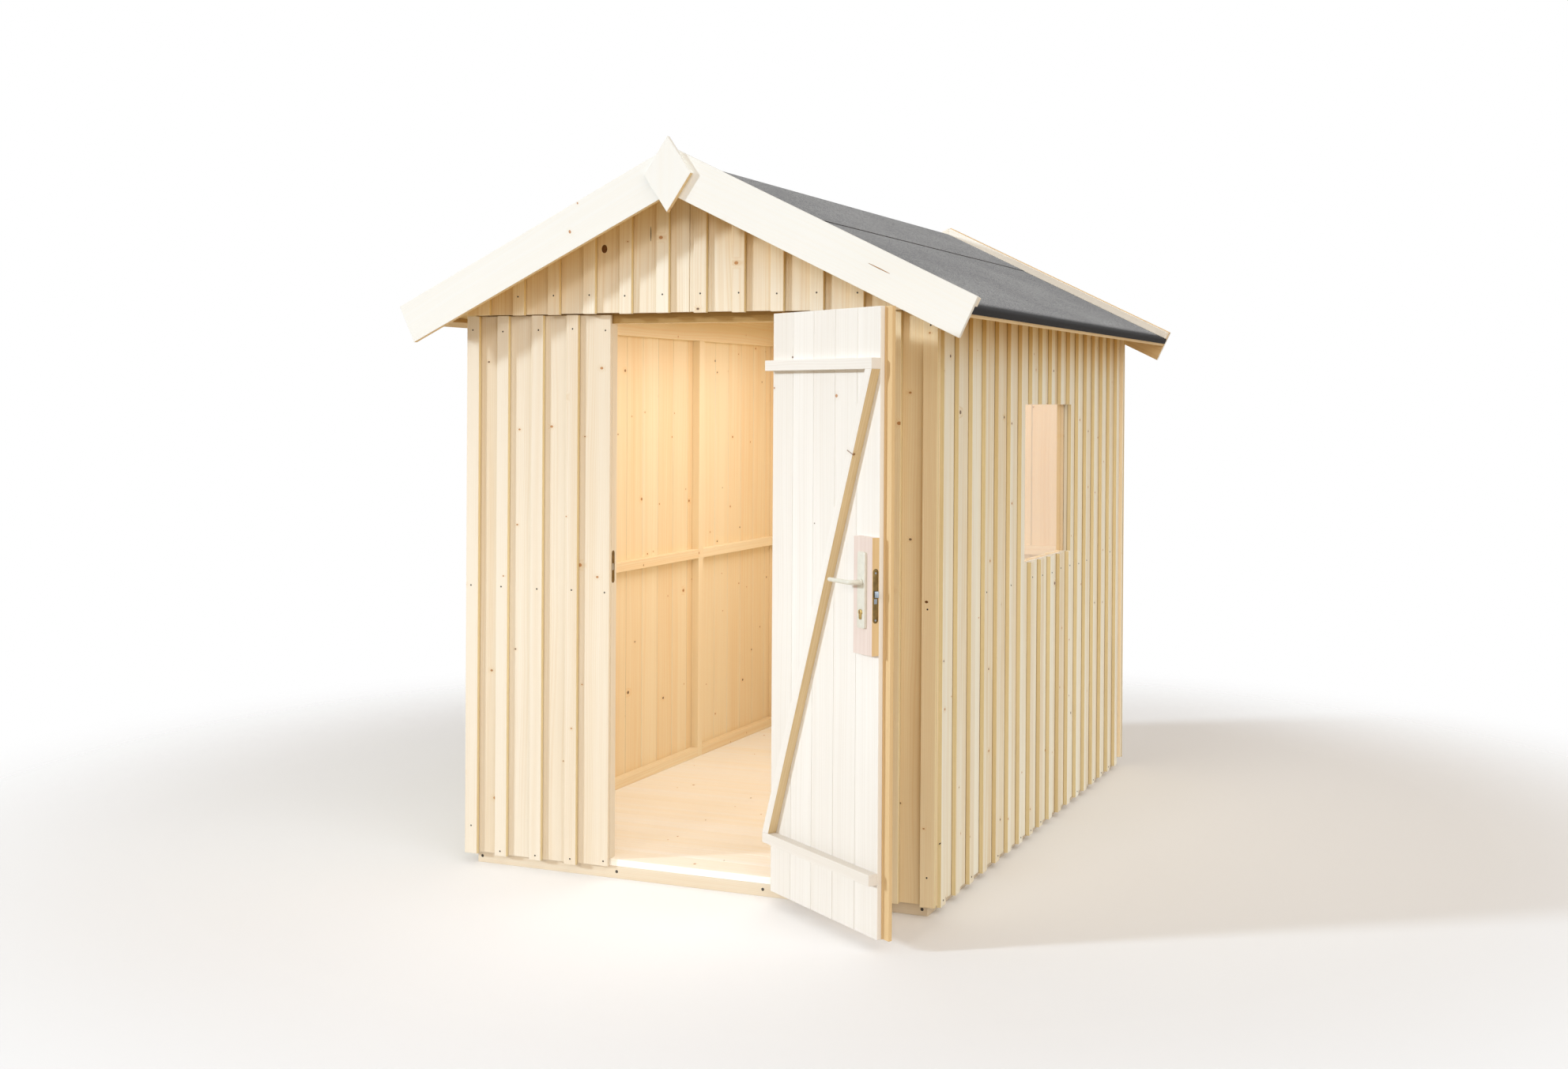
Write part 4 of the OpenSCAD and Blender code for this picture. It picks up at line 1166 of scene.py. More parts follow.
class SHED_OT_roof(Operator):
    """Lays the roof boards and dresses the eave battens, verge battens, barge boards and rhombus"""

    bl_idname = "shed.roof"
    bl_label = "Roof boards and verges"

    def execute(self, context):
        props = timber_props()
        middles, width = evenly(*Slope.ends, props.roof_board)
        mitre = Slope.thickness * math.tan(Slope.pitch)
        size = (Slope.run - mitre, width - props.joint, Slope.thickness)
        for side, node in ((1, "roof_boards_right"), (-1, "roof_boards_left")):
            boards = Boards()
            for y in middles:
                middle = Slope.point(side, (Slope.run + mitre) / 2, -Slope.thickness / 2, y)
                boards.add(middle, size, Slope.down(side), Y)
            hand_over(boards.build(node, "side", SEEDS[node]), "shed", "frame_timber", node)
        hand_over(dressed("eave_battens", "strip"), "shed", "frame_timber", "eave_battens")
        # Painted light: the verge battens take the paler wood.
        hand_over(dressed("verge_battens", "cut"), "shed", "trim_board", "verge_battens")
        # Painted shade: strip wood on the barges' lower and inner faces and on the rhombus's shaded side.
        for node, shaded in (("barge_boards_front", (-Z,)), ("barge_boards_back", (-Z, -Y))):
            obj = dressed(node, "trim")
            for outward in shaded:
                line_with(obj, "strip", outward)
            hand_over(obj, "shed", "trim_board", node)
        cover = dressed("peak_cover", "trim", along=Z)
        line_with(cover, "strip", COVER_SHADE)
        hand_over(cover, "shed", "trim_board", "peak_cover")
        return {"FINISHED"}


def close_skin(bm, rings):
    """Faces over rings with the same number of corners, with the first and the last ring closed."""
    faces = [bm.faces.new(rings[0]), bm.faces.new(rings[-1])]
    for ring, after in zip(rings, rings[1:]):
        for i in range(len(ring)):
            j = (i + 1) % len(ring)
            faces.append(bm.faces.new((ring[i], ring[j], after[j], after[i])))
    bmesh.ops.recalc_face_normals(bm, faces=faces)
    return faces


def felt_sheet(node, outline, ends, steps=96):
    """A sheet of felt: a closed outline in X and Z, drawn along Y between two ends with a slight wave.

    Each corner of the outline has a place, the share of the wave that it takes, and its share of
    painted shade, which is 1 at the felt's shaded edge.
    """
    wave = bpy.context.scene.shed_roofing.wave
    bm = bmesh.new()
    cut = bm.verts.layers.float.new("cut")
    rings = []
    for k in range(steps + 1):
        y = ends[0] + (ends[1] - ends[0]) * k / steps
        ring = []
        for (x, z), lift, edge in outline:
            cell = [place * often for place, often in zip((x, y, z), FELT_WAVES)]
            swell = 0.5 + 0.5 * noise.noise(Vector(cell))
            ring.append(bm.verts.new((x, y, z + swell * wave * lift)))
            ring[-1][cut] = edge
        rings.append(ring)
    close_skin(bm, rings)
    obj = modelled(node, bm, felt_material())
    shade(obj, sharper=40)
    hand_over(obj, "shed", "roof_felt", node)


def on_slope(side, down, out):
    """X and Z of a place on a slope."""
    place = Slope.point(side, down, out)
    return place.x, place.z


def slope_outline(side, thick, fold):
    """Outline of the felt on one slope, from the ridge to the fold at the eaves and back."""
    laid, bend = thick * FELT_LAID, thick * FELT_BEND
    edge = Slope.run + thick - bend
    outline = [(Slope.crest(thick), 0, 0)]
    for k in range(1, FELT_STEPS + 1):
        outline.append((on_slope(side, (edge - FELT_EVEN_END) * k / FELT_STEPS, laid), 1, 0))
    for before, dark in FELT_DARKENS:
        outline.append((on_slope(side, edge - before, laid), 1, dark))
    for k in range(1, BEND_STEPS + 1):
        turn = math.pi / 2 * k / BEND_STEPS
        place = on_slope(side, edge + bend * math.sin(turn), laid - bend + bend * math.cos(turn))
        outline.append((place, 1 - k / BEND_STEPS, 1))
    for down, out in ((Slope.run + thick, -fold), (Slope.run, -fold), (Slope.run, 0)):
        outline.append((on_slope(side, down, out), 0, 1))
    return outline + [(Slope.crest(0), 0, 1)]


def ridge_outline(thick, half, height):
    """Outline of the felt over the ridge, from half its width and its height over the boards' ridge."""
    lap = half / math.cos(Slope.pitch) - 2 * thick * math.tan(Slope.pitch)
    top = height * math.cos(Slope.pitch)
    base = thick * RIDGE_BASE
    downs = [lap * k / RIDGE_STEPS for k in range(1, RIDGE_STEPS + 1)]
    left, right = ([(on_slope(side, down, top * RIDGE_LAID), 1, 0) for down in downs] for side in (-1, 1))
    upper = left[::-1] + [(Slope.crest(top), 0, 0)] + right
    lower = [on_slope(1, lap, base), Slope.crest(base), on_slope(-1, lap, base)]
    return upper + [(place, 0, 1) for place in lower]


class SHED_OT_felt(Operator):
    """Lays the felt: a sheet on each slope with its fold at the eaves, and one over the ridge"""

    bl_idname = "shed.felt"
    bl_label = "Felt"

    def execute(self, context):
        low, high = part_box("felt_right")
        thick = (high.z - Slope.peak) * math.cos(Slope.pitch)
        fold = (Slope.point(1, Slope.run, 0).z - low.z) / math.cos(Slope.pitch)
        for side, node in ((1, "felt_right"), (-1, "felt_left")):
            felt_sheet(node, slope_outline(side, thick, fold), Slope.ends)
        low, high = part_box("felt_ridge")
        felt_sheet("felt_ridge", ridge_outline(thick, high.x, high.z - Slope.peak), (low.y, high.y))
        return {"FINISHED"}


# Door

# Layers of the leaf lie further apart than this.
LEAST_LAYER = 5e-4


def shut_points(node):
    """Corners of a solid of the door, with the door shut."""
    return [TO_SHUT @ p for p in points_of(node)]


def door_box(node):
    """Lowest and highest corner of a solid of the door, with the door shut."""
    places = shut_points(node)
    return [Vector([pick(p[i] for p in places) for i in range(3)]) for pick in (min, max)]


class SHED_OT_door(Operator):
    """Makes the leaf of tongued boards and battens, its cover strip, ledges, brace and lock block"""

    bl_idname = "shed.door"
    bl_label = "Door"

    def execute(self, context):
        self.lay_leaf()
        # Painted shade: the brace's and the lock block's sides towards the free edge take deeper woods.
        for node, kind, lining, outward in (("door_cover_strip", "strip", "front", DOOR_OUT),
                                            ("door_ledges", "door", None, None),
                                            ("door_brace", "door", "brace", DOOR_FREE_EDGE),
                                            ("lock_block", "block", "strip", DOOR_FREE_EDGE)):
            obj = dressed(node, kind)
            if lining:
                line_with(obj, lining, outward)
            hand_over(obj, "door", "door_board", node)
        return {"FINISHED"}

    def lay_leaf(self):
        """Tongued boards, and battens on their outer side."""
        props = timber_props()
        places = shut_points("door_leaf")
        low, high = door_box("door_leaf")
        outs = distinct((p.y for p in places), LEAST_LAYER)
        outer, face, inner = outs[0], outs[1], outs[-1]
        z, tall = (low.z + high.z) / 2, high.z - low.z
        middles, width = evenly(low.x, high.x, props.door_board)
        leaf = Boards(TO_OPEN)
        for x in middles:
            leaf.add((x, (face + inner) / 2, z), (tall, width - props.joint * TONGUED, inner - face), Z, X)
        for first, last in pairs(distinct(p.x for p in places if p.y < outer + NEAR)):
            leaf.add(((first + last) / 2, (outer + face) / 2, z), (tall, last - first, face - outer), Z, X)
        obj = leaf.build("door_leaf_boards", "door", SEEDS["door_leaf_boards"])
        line_with(obj, "front", DOOR_OUT)
        hand_over(obj, "door", "door_board", "door_leaf")


# Hinges, lock and lever

# Rounding of the edges of hinges, thin plates and the latch bolt.
HINGE_EDGE, PLATE_EDGE, BOLT_EDGE = 0.0006, 0.0003, 0.0008
# Rounding of a handle plate and of its screws, and how far these sit in from its ends.
ENAMEL_EDGE, SCREW_EDGE, SCREW_INSET = 0.0022, 0.0012, 0.011
# What stands on a plate reaches this far into it, and the lever clears it by this much.
SUNK, CLEAR = 0.001, 0.0003
# How far a screw, the key's core and its slot stand out.
SCREW_PROUD, CORE_PROUD, SLOT_PROUD = 0.0008, 0.0004, 0.0006
# Rounding of the profile cylinder, of its core and of the slot, and the slot's width and corners.
KEY_EDGE, CORE_EDGE, SLOT_EDGE = 0.0008, 0.0004, 0.0001
SLOT_WIDTH, SLOT_CORNER = 0.0022, 0.0010
# In radii of the profile cylinder's head: half its foot's width, the foot's drop, and the core, its corners
# and the slot's height.
KEY_FOOT, KEY_DROP, KEY_CORE, CORE_CORNER, KEY_SLOT = 0.58, 2.6, 1.5, 0.74, 1.05
# A lever's bend in metres, and its sizes in halves of its height: collar, root, neck, end and thickness.
LEVER_BEND = 0.014
# Where the collar ends and the root begins, off the plate.
COLLAR_END, ROOT_START = 0.004, 0.006
COLLAR, ROOT, NECK, TIP, ARM = 1.22, 0.94, 0.86, 0.72, 1.2
# Share of the way from the neck's size to the end's that the lever has covered after its bend.
AFTER_BEND = 0.4
# Depth of the arm at its end, as a share.
SLIMMER = 0.9
# Steps along the arm, and the shares and sizes of its rounded end.
ARM_STEPS, END_STEPS = (0.25, 0.5, 0.75, 0.93), ((0.965, 0.86), (0.988, 0.60), (1.0, 0.22))
# Sizes of the dead bolt and of the edge plate's screws, and places under the latch and in from the ends.
DEAD_BOLT, DEAD_BOLT_CORNER, UNDER_LATCH = (0.010, 0.015), 0.0012, 0.0115
EDGE_SCREW, EDGE_SCREW_LOW, EDGE_SCREW_HIGH = 0.006, 0.009, 0.013
# Where the dead bolt and the screws start and end, from the face of the edge plate.
IN_PLATE, OUT_OF_PLATE = 0.0012, 0.0004
# A handle plate's screw is round but for this much, and the corners of one in the edge plate in its widths.
SCREW_FLAT, EDGE_SCREW_CORNER = 0.0001, 0.48
# Where a rounded end has its middle ring, as a share of the rounding.
END_MIDDLE = 0.3
# Steps round the profile cylinder's head and foot.
HEAD_STEPS, FOOT_STEPS = 20, 6


def forged(node, material, edge):
    """A metal part shaped as its solid is, with softened edges."""
    obj = modelled(f"{node}_metal", merged(node, METAL_MERGE), material)
    round_edges(obj, edge, segments=3, sharper=50)
    plain_mesh(obj)
    shade(obj)
    return obj


class Skin:
    """Closed skins over rings of places on the shut door, joined in one mesh on the open one."""

    def __init__(self, *materials):
        self.bm = bmesh.new()
        self.materials = materials

    def add(self, rings, paint=0):
        """A skin over rings that have the same number of places, with its two ends closed."""
        corners = [[self.bm.verts.new(TO_OPEN @ Vector(place)) for place in ring] for ring in rings]
        for face in close_skin(self.bm, corners):
            face.material_index = paint

    def slab(self, outline, at, start, end, edge, paint=0):
        """An outline in X and Z round a place, drawn along Y and rounded at its end."""
        back = -edge if end > start else edge
        rings = []
        for y, inset in ((start, 0.0), (end + back, 0.0), (end + back * END_MIDDLE, edge * END_MIDDLE),
                         (end, edge)):
            ring = []
            for u, v in outline:
                size = 1 - inset / (math.hypot(u, v) or 1.0)
                ring.append((at[0] + u * size, y, at[1] + v * size))
            rings.append(ring)
        self.add(rings, paint)

    def build(self, name):
        """The finished object."""
        obj = modelled(name, self.bm, *self.materials)
        shade(obj, sharper=40)
        return obj


def arc(centre, radius, start, turn, steps):
    """Places on an arc, from one angle and on by another."""
    angles = [start + turn * k / steps for k in range(steps + 1)]
    return [(centre[0] + radius * math.cos(a), centre[1] + radius * math.sin(a)) for a in angles]


def rounded(width, height, radius, steps=7):
    """Outline of a rectangle with rounded corners."""
    outline = []
    for turn, (side, up) in enumerate(((1, 1), (-1, 1), (-1, -1), (1, -1))):
        centre = (side * (width / 2 - radius), up * (height / 2 - radius))
        outline += arc(centre, radius, math.pi / 2 * turn, math.pi / 2, steps)
    return outline


def keyhole_outline(radius, half, drop):
    """Outline of a profile cylinder: a round head over a narrow foot."""
    open_part = math.asin(half / radius)
    head = arc((0, 0), radius, open_part - math.pi / 2, math.tau - 2 * open_part, HEAD_STEPS)
    return head + arc((0, half - drop), half, math.pi, math.pi, FOOT_STEPS)


def lever_path(root, tip, reach, half):
    """Path of a lever off its plate, round a bend and on to a rounded end.

    Each step has its place along the arm and off the door, half its height and half its depth.
    """
    onward = 1 if tip > root else -1
    collar, neck, end, thick = half * COLLAR, half * NECK, half * TIP, half * ARM
    bar = tip - onward * thick / 2
    path = [(0.0, root, collar, collar), (0.0, root + onward * COLLAR_END, collar, collar),
            (0.0, root + onward * ROOT_START, half * ROOT, half * ROOT),
            (0.0, bar - onward * LEVER_BEND, neck, neck)]
    steps = 7
    for k in range(1, steps + 1):
        turn, part = math.pi / 2 * k / steps, k / steps
        path.append((LEVER_BEND * (1 - math.cos(turn)), bar - onward * LEVER_BEND * (1 - math.sin(turn)),
                     neck + (end - neck) * AFTER_BEND * part, neck + (thick / 2 - neck) * part))
    for part in ARM_STEPS:
        tall = neck + (end - neck) * (AFTER_BEND + (1 - AFTER_BEND) * part)
        deep = thick / 2 * (1 - (1 - SLIMMER) * part)
        path.append((LEVER_BEND + (reach - LEVER_BEND) * part, bar, tall, deep))
    for part, size in END_STEPS:
        place = LEVER_BEND + (reach - LEVER_BEND) * part
        path.append((place, bar, end * size, thick / 2 * SLIMMER * size))
    return path


def lever_rings(path, at, corners=20):
    """Oval rings along a lever's path, which starts from a place in X and Z."""
    rings = []
    for i, (x, y, tall, deep) in enumerate(path):
        before, after = path[max(0, i - 1)], path[min(len(path) - 1, i + 1)]
        along = Vector((after[0] - before[0], after[1] - before[1], 0)).normalized()
        middle = Vector((at[0] + x, y, at[1]))
        up, across = Z * tall, along.cross(Z) * deep
        turns = [math.tau * k / corners for k in range(corners)]
        rings.append([middle + up * math.sin(turn) + across * math.cos(turn) for turn in turns])
    return rings


class Lock:
    """Places of the lock's parts on the shut door, read from their solids; centres are in X and Z."""

    def __init__(self, thick):
        low, high = door_box("handle_plates")
        block_low, block_high = door_box("lock_block")
        depths = [p.y for p in shut_points("handle_plates")]
        inner = min(y for y in depths if y > block_high.y - NEAR)
        outer = max(y for y in depths if y < block_low.y)
        # Foot and face in Y of the room's plate and of the outer one, and the sign of the way out of each.
        self.plates = ((inner, inner + thick, 1), (outer, outer - thick, -1))
        self.width, self.height = high.x - low.x, high.z - low.z
        x = (low.x + high.x) / 2
        self.middle = (x, (low.z + high.z) / 2)
        self.lever_low, self.lever_high = door_box("door_lever")
        self.spindle = (x, (self.lever_low.z + self.lever_high.z) / 2)
        key_low, key_high = door_box("key_cylinder")
        self.key = (x, (key_low.z + key_high.z) / 2)
        self.key_radius = (key_high.z - key_low.z) / 2


class SHED_OT_ironwork(Operator):
    """Makes the hinges, lock plates, latch bolt, key cylinder, handle plates and lever"""

    bl_idname = "shed.ironwork"
    bl_label = "Hinges, lock and lever"

    def execute(self, context):
        props = context.scene.shed_iron
        zinc = worn_metal("plated steel", tuple(props.zinc), metallic=0.85, rough=0.34)
        bronze = worn_metal("bronzed steel", tuple(props.bronze), metallic=0.75, rough=0.38)
        brass = worn_metal("key brass", tuple(props.brass), metallic=0.8, rough=0.32)
        dark = worn_metal("dark slot", tuple(props.nail), metallic=0.2, rough=0.7)
        enamel = worn_metal("ivory enamel", tuple(props.enamel), metallic=0.0, rough=0.30, speckle=0.02)
        for node, body, slot, metal, edge in (("hinge_pins", "shed", "steel", zinc, HINGE_EDGE),
                                              ("hinge_leaves", "door", "steel", zinc, HINGE_EDGE),
                                              ("strike_plate", "shed", "lock_bronze", bronze, PLATE_EDGE),
                                              ("latch_bolt", "latch", "steel", zinc, BOLT_EDGE)):
            hand_over(forged(node, metal, edge), body, slot, node)
        lock = Lock(props.plate)
        self.handle_plates(props, lock, enamel)
        self.key_cylinder(props, lock, brass, dark)
        self.lever(lock, enamel)
        self.edge_plate(bronze, zinc)
        return {"FINISHED"}

    def handle_plates(self, props, lock, enamel):
        """Both handle plates, with a screw near each end."""
        skin = Skin(enamel)
        outline = rounded(lock.width, lock.height, props.plate_corner)
        screw = rounded(props.plate_screw, props.plate_screw, props.plate_screw / 2 - SCREW_FLAT)
        for foot, face, onward in lock.plates:
            skin.slab(outline, lock.middle, foot, face, ENAMEL_EDGE)
            for up in (1, -1):
                at = (lock.middle[0], lock.middle[1] + up * (lock.height / 2 - SCREW_INSET))
                skin.slab(screw, at, face - onward * SUNK, face + onward * SCREW_PROUD, SCREW_EDGE)
        hand_over(skin.build("handle_plates_enamel"), "door", "handle_enamel", "handle_plates")

    def key_cylinder(self, props, lock, brass, dark):
        """The profile cylinder's two ends, each with its round core and dark slot."""
        skin = Skin(brass, dark)
        radius = lock.key_radius
        body = keyhole_outline(radius, radius * KEY_FOOT, radius * KEY_DROP)
        core = rounded(radius * KEY_CORE, radius * KEY_CORE, radius * CORE_CORNER)
        slot = rounded(SLOT_WIDTH, radius * KEY_SLOT, SLOT_CORNER)
        for foot, face, onward in lock.plates:
            end = face + onward * props.key_out
            skin.slab(body, lock.key, foot, end, KEY_EDGE)
            skin.slab(core, lock.key, end - onward * SUNK, end + onward * CORE_PROUD, CORE_EDGE)
            skin.slab(slot, lock.key, end - onward * SUNK, end + onward * SLOT_PROUD, SLOT_EDGE, paint=1)
        hand_over(skin.build("key_cylinder_brass"), "door", "steel", "key_cylinder")

    def lever(self, lock, enamel):
        """The lever's two arms, towards the hinges, and the bar between them."""
        skin = Skin(enamel)
        half = (lock.lever_high.z - lock.lever_low.z) / 2
        reach = lock.lever_high.x - lock.spindle[0]
        for (_, face, onward), tip in zip(lock.plates, (lock.lever_high.y, lock.lever_low.y)):
            path = lever_path(face + onward * CLEAR, tip, reach, half)
            skin.add(lever_rings(path, lock.spindle))
        corners = 12
        bar = arc(lock.spindle, half / 2, 0.0, math.tau, corners)[:corners]
        ends = [face - onward * SUNK for _, face, onward in reversed(lock.plates)]
        skin.add([[(x, y, z) for x, z in bar] for y in ends])
        hand_over(skin.build("door_lever_enamel"), "lever", "handle_enamel", "door_lever")

    def edge_plate(self, bronze, zinc):
        """The plate on the door's free edge, with the drawn-in dead bolt and two screws."""
        plate = forged("lock_edge_plate", bronze, PLATE_EDGE)
        hand_over(plate, "door", "lock_bronze", "lock_edge_plate")
        low, high = door_box("lock_edge_plate")
        latch = door_box("latch_bolt")[0].z
        bolt = rounded(*DEAD_BOLT, DEAD_BOLT_CORNER)
        screw = rounded(EDGE_SCREW, EDGE_SCREW, EDGE_SCREW * EDGE_SCREW_CORNER)
        skin = Skin(zinc)
        for z, outline in ((latch - UNDER_LATCH, bolt), (low.z + EDGE_SCREW_LOW, screw),
                           (high.z - EDGE_SCREW_HIGH, screw)):
            ring = [((low.y + high.y) / 2 + u, z + v) for u, v in outline]
            skin.add([[(x, *place) for place in ring] for x in (low.x + IN_PLATE, low.x - OUT_OF_PLATE)])
        hand_over(skin.build("dead_bolt_and_screws"), "door", "steel")


# Nails on the walls

# Middles of the floor beam's screws in X.
FLOOR_SCREWS = (-0.827, -0.286, 0.266, 0.828)
# A batten this near to its panel's end covers the corner.
CORNER_BATTEN = 0.04
# The gables' battens further out than this are too short for a nail.
GABLE_NAILED = 0.7


def nail_panel(nails, node, wall):
    """Nails of one panel: on its battens and, beside the doorway, on the edge of its boards."""
    props = bpy.context.scene.shed_iron
    panel = Cladding(node, wall)
    gable = node.endswith("_gable")
    hole = window_hole() if node == WINDOW_PANEL else None
    rows = [panel.low + props.nail_gable]
    if not gable:
        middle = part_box("left_rails")[0].z + props.nail_middle
        rows = [panel.low + props.nail_foot, middle, panel.high - props.nail_top]
    for z in rows:
        for first, last in panel.battens:
            at = (first + last) / 2
            corner = wall in ("front", "back") and min(at - panel.start, panel.end - at) < CORNER_BATTEN
            lift = props.nail_corner if corner and z == rows[0] and not gable else 0.0
            if hole and hole[0] < at < hole[1] and hole[2] < z < hole[3]:
                continue
            if gable and abs(at) > GABLE_NAILED:
                continue
            if wall == "front" or nails.luck.random() < props.nail_share:
                nails.add(panel.at(at, panel.outer, z + lift), panel.out)
    if wall == "front" and not gable:
        edge = panel.start + props.nail_edge
        if node == "front_panel_left":
            edge = panel.end - props.nail_edge
        for z in rows:
            nails.add(panel.at(edge, panel.face, z), panel.out)


class SHED_OT_nails(Operator):
    """Drives the nails of the wall boards and battens and the screws of the floor beam"""

    bl_idname = "shed.nails"
    bl_label = "Nails and screws"

    def execute(self, context):
        props = context.scene.shed_iron
        steel = worn_metal("dull nail steel", tuple(props.nail), metallic=0.4, rough=0.6)
        nails = Nails(props.nail_play)
        for wall in WALLS:
            for node in sorted(frame["nodes"]):
                if node.startswith((f"{wall}_panel", f"{wall}_gable")):
                    nail_panel(nails, node, wall)
        hand_over(nails.build("wall_nails", props.nail_head, steel), "shed", "steel")

        screws = Nails(props.screw_play)
        low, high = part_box("floor_frame")
        for x in FLOOR_SCREWS:
            screws.add((x, low.y, (low.z + high.z) / 2), -Y)
        hand_over(screws.build("floor_screws", props.screw_head, steel), "shed", "steel")
        return {"FINISHED"}


# Knots and marks

# Each mark's place on its face, and half its size across and up.
GABLE_KNOT = Vector((-0.326, 0, 2.161)), (0.0113, 0.0151)
GABLE_CRACK = Vector((-0.147, 0, 2.207)), (0.0015, 0.0264)
CORNER_KNOT = Vector((0.847, 0, 1.010)), (0.0060, 0.0042)
BARGE_RESIN = Vector((0.736, 0, 2.0605)), (0.043, 0.0016)
CORNER_SLOT = Vector((0, -1.249, 0.233)), (0.011, 0.0022)
# The foot and the top of a mark: how far out of its face, and at what share of its size.
MARK_RINGS = ((-0.0006, 1.0), (0.0003, 0.94))
# A mark's flecks in a metre, their ends and how dark they are, and its roughness and shine.
FLECK_RATE, FLECK_ENDS, FLECK_DARK = 260.0, (0.3, 0.7), 0.65
MARK_ROUGH, MARK_SHINE = 0.7, 0.25


def mark_material(name, tint):
    """Wood of a knot, a crack or resin: two tones in fine flecks."""
    made, nodes, shader = new_material(name)
    fleck = nodes.remap(nodes.noise(nodes.place(), FLECK_RATE, 3.0), *FLECK_ENDS)
    tone = nodes.mix(fleck, tuple(tint), tuple(c * FLECK_DARK for c in tint))
    nodes.put(shader, {"Base Color": tone, "Roughness": MARK_ROUGH, "Specular IOR Level": MARK_SHINE})
    return made


def patch(bm, mark, face, out, across, paint, corners=16):
    """A thin oval set into a face, which lies so far along the way out of it."""
    place, half = mark
    wide, tall = across * half[0], across.cross(out) * half[1]
    turns = [math.tau * k / corners for k in range(corners)]
    rings = []
    for rise, size in MARK_RINGS:
        middle = place + out * (face + rise)
        spots = [middle + (wide * math.cos(turn) + tall * math.sin(turn)) * size for turn in turns]
        rings.append([bm.verts.new(spot) for spot in spots])
    for made in close_skin(bm, rings):
        made.material_index = paint


class SHED_OT_marks(Operator):
    """Sets the largest knots, a crack, a resin streak and a slot into the boards"""

    bl_idname = "shed.marks"
    bl_label = "Knots and marks"

    def execute(self, context):
        props = timber_props()
        gable = Cladding("front_gable", "front").face
        corner = Cladding("front_panel_right", "front").outer
        side = Cladding("right_panel_front", "right").outer
        barge = -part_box("barge_boards_front")[0].y
        knot, crack, resin = range(3)
        bm = bmesh.new()
        patch(bm, GABLE_KNOT, gable, -Y, X, knot)
        patch(bm, GABLE_CRACK, gable, -Y, X, crack)
        patch(bm, CORNER_KNOT, corner, -Y, X, knot)
        patch(bm, BARGE_RESIN, barge, -Y, Slope.down(1), resin)
        patch(bm, CORNER_SLOT, side, X, Y, crack)
        heart = (Vector(props.knot) + Vector(props.knot_dead)) / 3
        tints = {"dead knot wood": heart, "open crack": props.crack, "resin": props.resin}
        obj = modelled("wood_marks", bm, *[mark_material(name, tint) for name, tint in tints.items()])
        shade(obj, sharper=40)
        hand_over(obj, "shed", "wall_board")
        return {"FINISHED"}


# Stage

# The lamp in the room: its sizes along X and Y, and its place under the roof.
ROOM_LAMP_SIZE, ROOM_LAMP_AT = (1.2, 2.0), (0.0, 0.1, 1.97)
# The photograph's camera: its place, its turn from the front, its look down, its lean and its shift.
CAMERA_AT = (2.695, -6.572, 1.650)
CAMERA_TURN, CAMERA_DOWN, CAMERA_LEAN = (math.radians(degrees) for degrees in (22.04, 0.349, 0.358))
SENSOR_WIDTH = 36.0
IMAGE_WIDTH = 1984
IMAGE_SHIFT = (-76.0, -156.8)


# The sky's tint turns from the low one to its own between these heights.
SKY_ENDS = (0.1, 0.8)
# How often the floor's tone changes in a metre, and its darker tone's share.
FLOOR_RATE, FLOOR_DARK = 0.6, 0.985


def sky_world(props):
    """White behind the object, and soft light from all sides that is weaker and warmer from below."""
    world = bpy.data.worlds.new("studio")
    world.use_nodes = True
    world.node_tree.nodes.clear()
    nodes = Nodes(world.node_tree)
    path = nodes.add("ShaderNodeLightPath").outputs
    seen = nodes.math("MAXIMUM", path["Is Camera Ray"], path["Is Glossy Ray"])
    seen = nodes.math("MAXIMUM", seen, path["Is Transmission Ray"])
    up = nodes.split(nodes.add("ShaderNodeTexCoord").outputs["Generated"])[2]
    strength = nodes.math("MULTIPLY_ADD", up, 1.0 - 2.0 * props.from_below, 1.0)
    strength = nodes.math("MULTIPLY", strength, props.sky)
    warmth = nodes.mix(nodes.remap(up, *SKY_ENDS), tuple(props.low_tint), tuple(props.sky_tint))
    soft = nodes.add("ShaderNodeBackground", {"Color": warmth, "Strength": strength})
    white = nodes.add("ShaderNodeBackground", {"Color": (1, 1, 1, 1), "Strength": 1.0})
    both = nodes.add("ShaderNodeMixShader", {0: seen, 1: soft.outputs[0], 2: white.outputs[0]})
    nodes.add("ShaderNodeOutputWorld", {"Surface": both.outputs[0]})
    bpy.context.scene.world = world


def floor_material(props):
    """Pale floor that fades into the white round it."""
    made = bpy.data.materials.new("studio floor")
    made.use_nodes = True
    made.node_tree.nodes.clear()
    nodes = Nodes(made.node_tree)
    place = nodes.place()
    fade = nodes.remap(nodes.size_of(place), props.fade_from, props.fade_to)
    tint = tuple(props.floor)
    tone = nodes.mix(nodes.noise(place, FLOOR_RATE, 2.0), tuple(c * FLOOR_DARK for c in tint), tint)
    base = nodes.add("ShaderNodeBsdfDiffuse", {"Color": tone})
    clear = nodes.add("ShaderNodeBsdfTransparent")
    both = nodes.add("ShaderNodeMixShader", {0: fade, 1: base.outputs[0], 2: clear.outputs[0]})
    nodes.add("ShaderNodeOutputMaterial", {"Surface": both.outputs[0]})
    return made


def sun_lamp(name, strength, softness, source, tint=(1, 1, 1)):
    """A distant light that comes from one way."""
    light = bpy.data.lights.new(name, "SUN")
    light.energy = strength
    light.angle = softness
    light.color = tint
    new_object(name, light).rotation_euler = Vector(source).to_track_quat("Z", "Y").to_euler()


def room_lamp(power):
    """A fill light under the roof."""
    light = bpy.data.lights.new("room fill", "AREA")
    light.energy = power
    light.shape = "RECTANGLE"
    light.size, light.size_y = ROOM_LAMP_SIZE
    new_object("room fill", light).location = ROOM_LAMP_AT


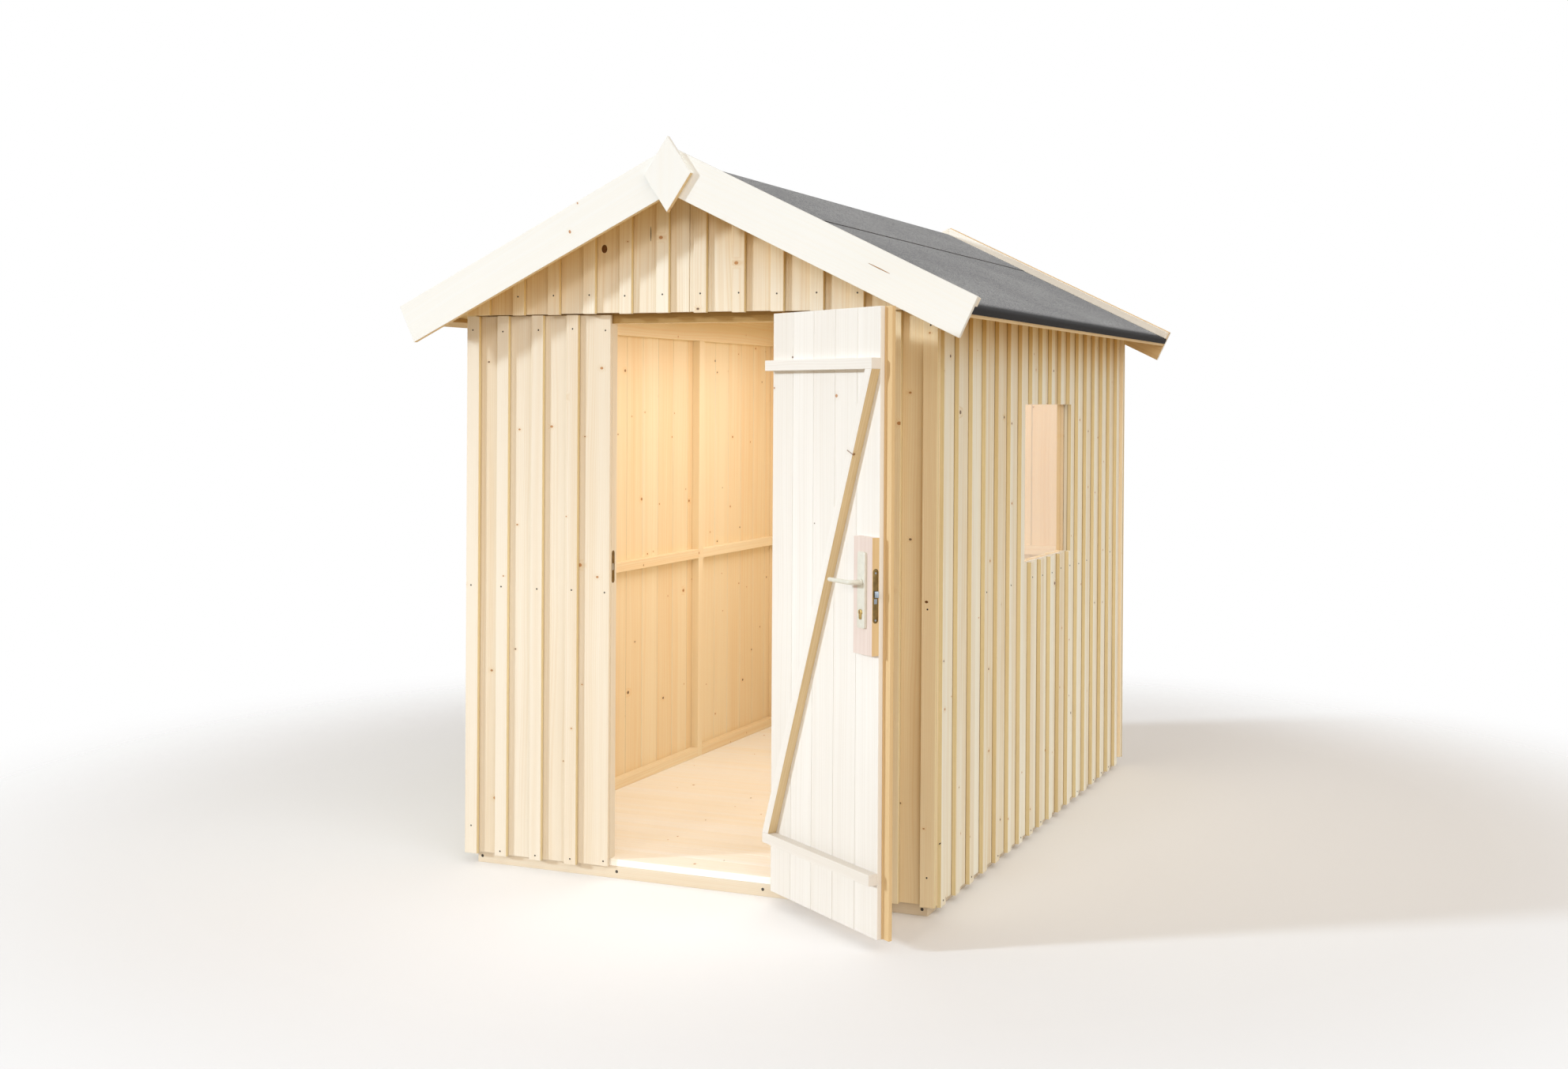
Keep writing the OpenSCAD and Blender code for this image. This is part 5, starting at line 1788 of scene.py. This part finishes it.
def new_camera(lens):
    """The photograph's camera."""
    camera = bpy.data.cameras.new("camera")
    camera.lens = lens
    camera.sensor_width = SENSOR_WIDTH
    camera.shift_x, camera.shift_y = (shift / IMAGE_WIDTH for shift in IMAGE_SHIFT)
    viewer = new_object("camera", camera)
    look = Euler((math.pi / 2 - CAMERA_DOWN, 0, CAMERA_TURN)).to_matrix().to_4x4()
    viewer.matrix_world = Matrix.Translation(CAMERA_AT) @ look @ Matrix.Rotation(CAMERA_LEAN, 4, "Z")
    return viewer


class SHED_OT_stage(Operator):
    """Sets up the floor, the light and the camera"""

    bl_idname = "shed.stage"
    bl_label = "Stage"

    def execute(self, context):
        props = context.scene.shed_stage
        context.scene.view_settings.view_transform = "Standard"
        sky_world(props)
        bm = bmesh.new()
        bmesh.ops.create_circle(bm, cap_ends=True, segments=96, radius=props.floor_radius)
        modelled("studio_floor", bm, floor_material(props))
        sun_lamp("key", props.key, props.key_softness, props.key_from, props.key_tint)
        sun_lamp("front light", props.front, props.front_softness, props.front_from)
        sun_lamp("side fill", props.fill, props.fill_softness, props.fill_from)
        room_lamp(props.room)
        context.scene.camera = new_camera(props.lens)
        return {"FINISHED"}


class SHED_PT_sidebar(Panel):
    """Lists the shed's pieces and settings"""

    bl_idname = "SHED_PT_sidebar"
    bl_label = "Garden shed"
    bl_space_type = "VIEW_3D"
    bl_region_type = "UI"
    bl_category = "Shed"

    def draw(self, context):
        for operator in OPERATORS:
            self.layout.operator(operator.bl_idname)
        for name, group in GROUPS.items():
            for key in group.__annotations__:
                self.layout.prop(getattr(context.scene, name), key)


GROUPS = {"shed_timber": ShedTimber, "shed_roofing": ShedRoofing, "shed_iron": ShedIron,
          "shed_stage": ShedStage}
OPERATORS = (SHED_OT_floor, SHED_OT_walls, SHED_OT_frames, SHED_OT_window, SHED_OT_roof, SHED_OT_felt,
             SHED_OT_door, SHED_OT_ironwork, SHED_OT_nails, SHED_OT_marks, SHED_OT_stage)


def register():
    """Adds the settings, the operators and the panel."""
    for key, group in GROUPS.items():
        bpy.utils.register_class(group)
        setattr(bpy.types.Scene, key, PointerProperty(type=group))
    for made in (*OPERATORS, SHED_PT_sidebar):
        bpy.utils.register_class(made)


def unregister():
    """Takes them away again."""
    for made in (SHED_PT_sidebar, *reversed(OPERATORS)):
        bpy.utils.unregister_class(made)
    for key, group in GROUPS.items():
        delattr(bpy.types.Scene, key)
        bpy.utils.unregister_class(group)


def main():
    """Builds every piece in order."""
    register()
    for operator in OPERATORS:
        group, name = operator.bl_idname.split(".")
        getattr(getattr(bpy.ops, group), name)()


if __name__ == "__main__":
    main()
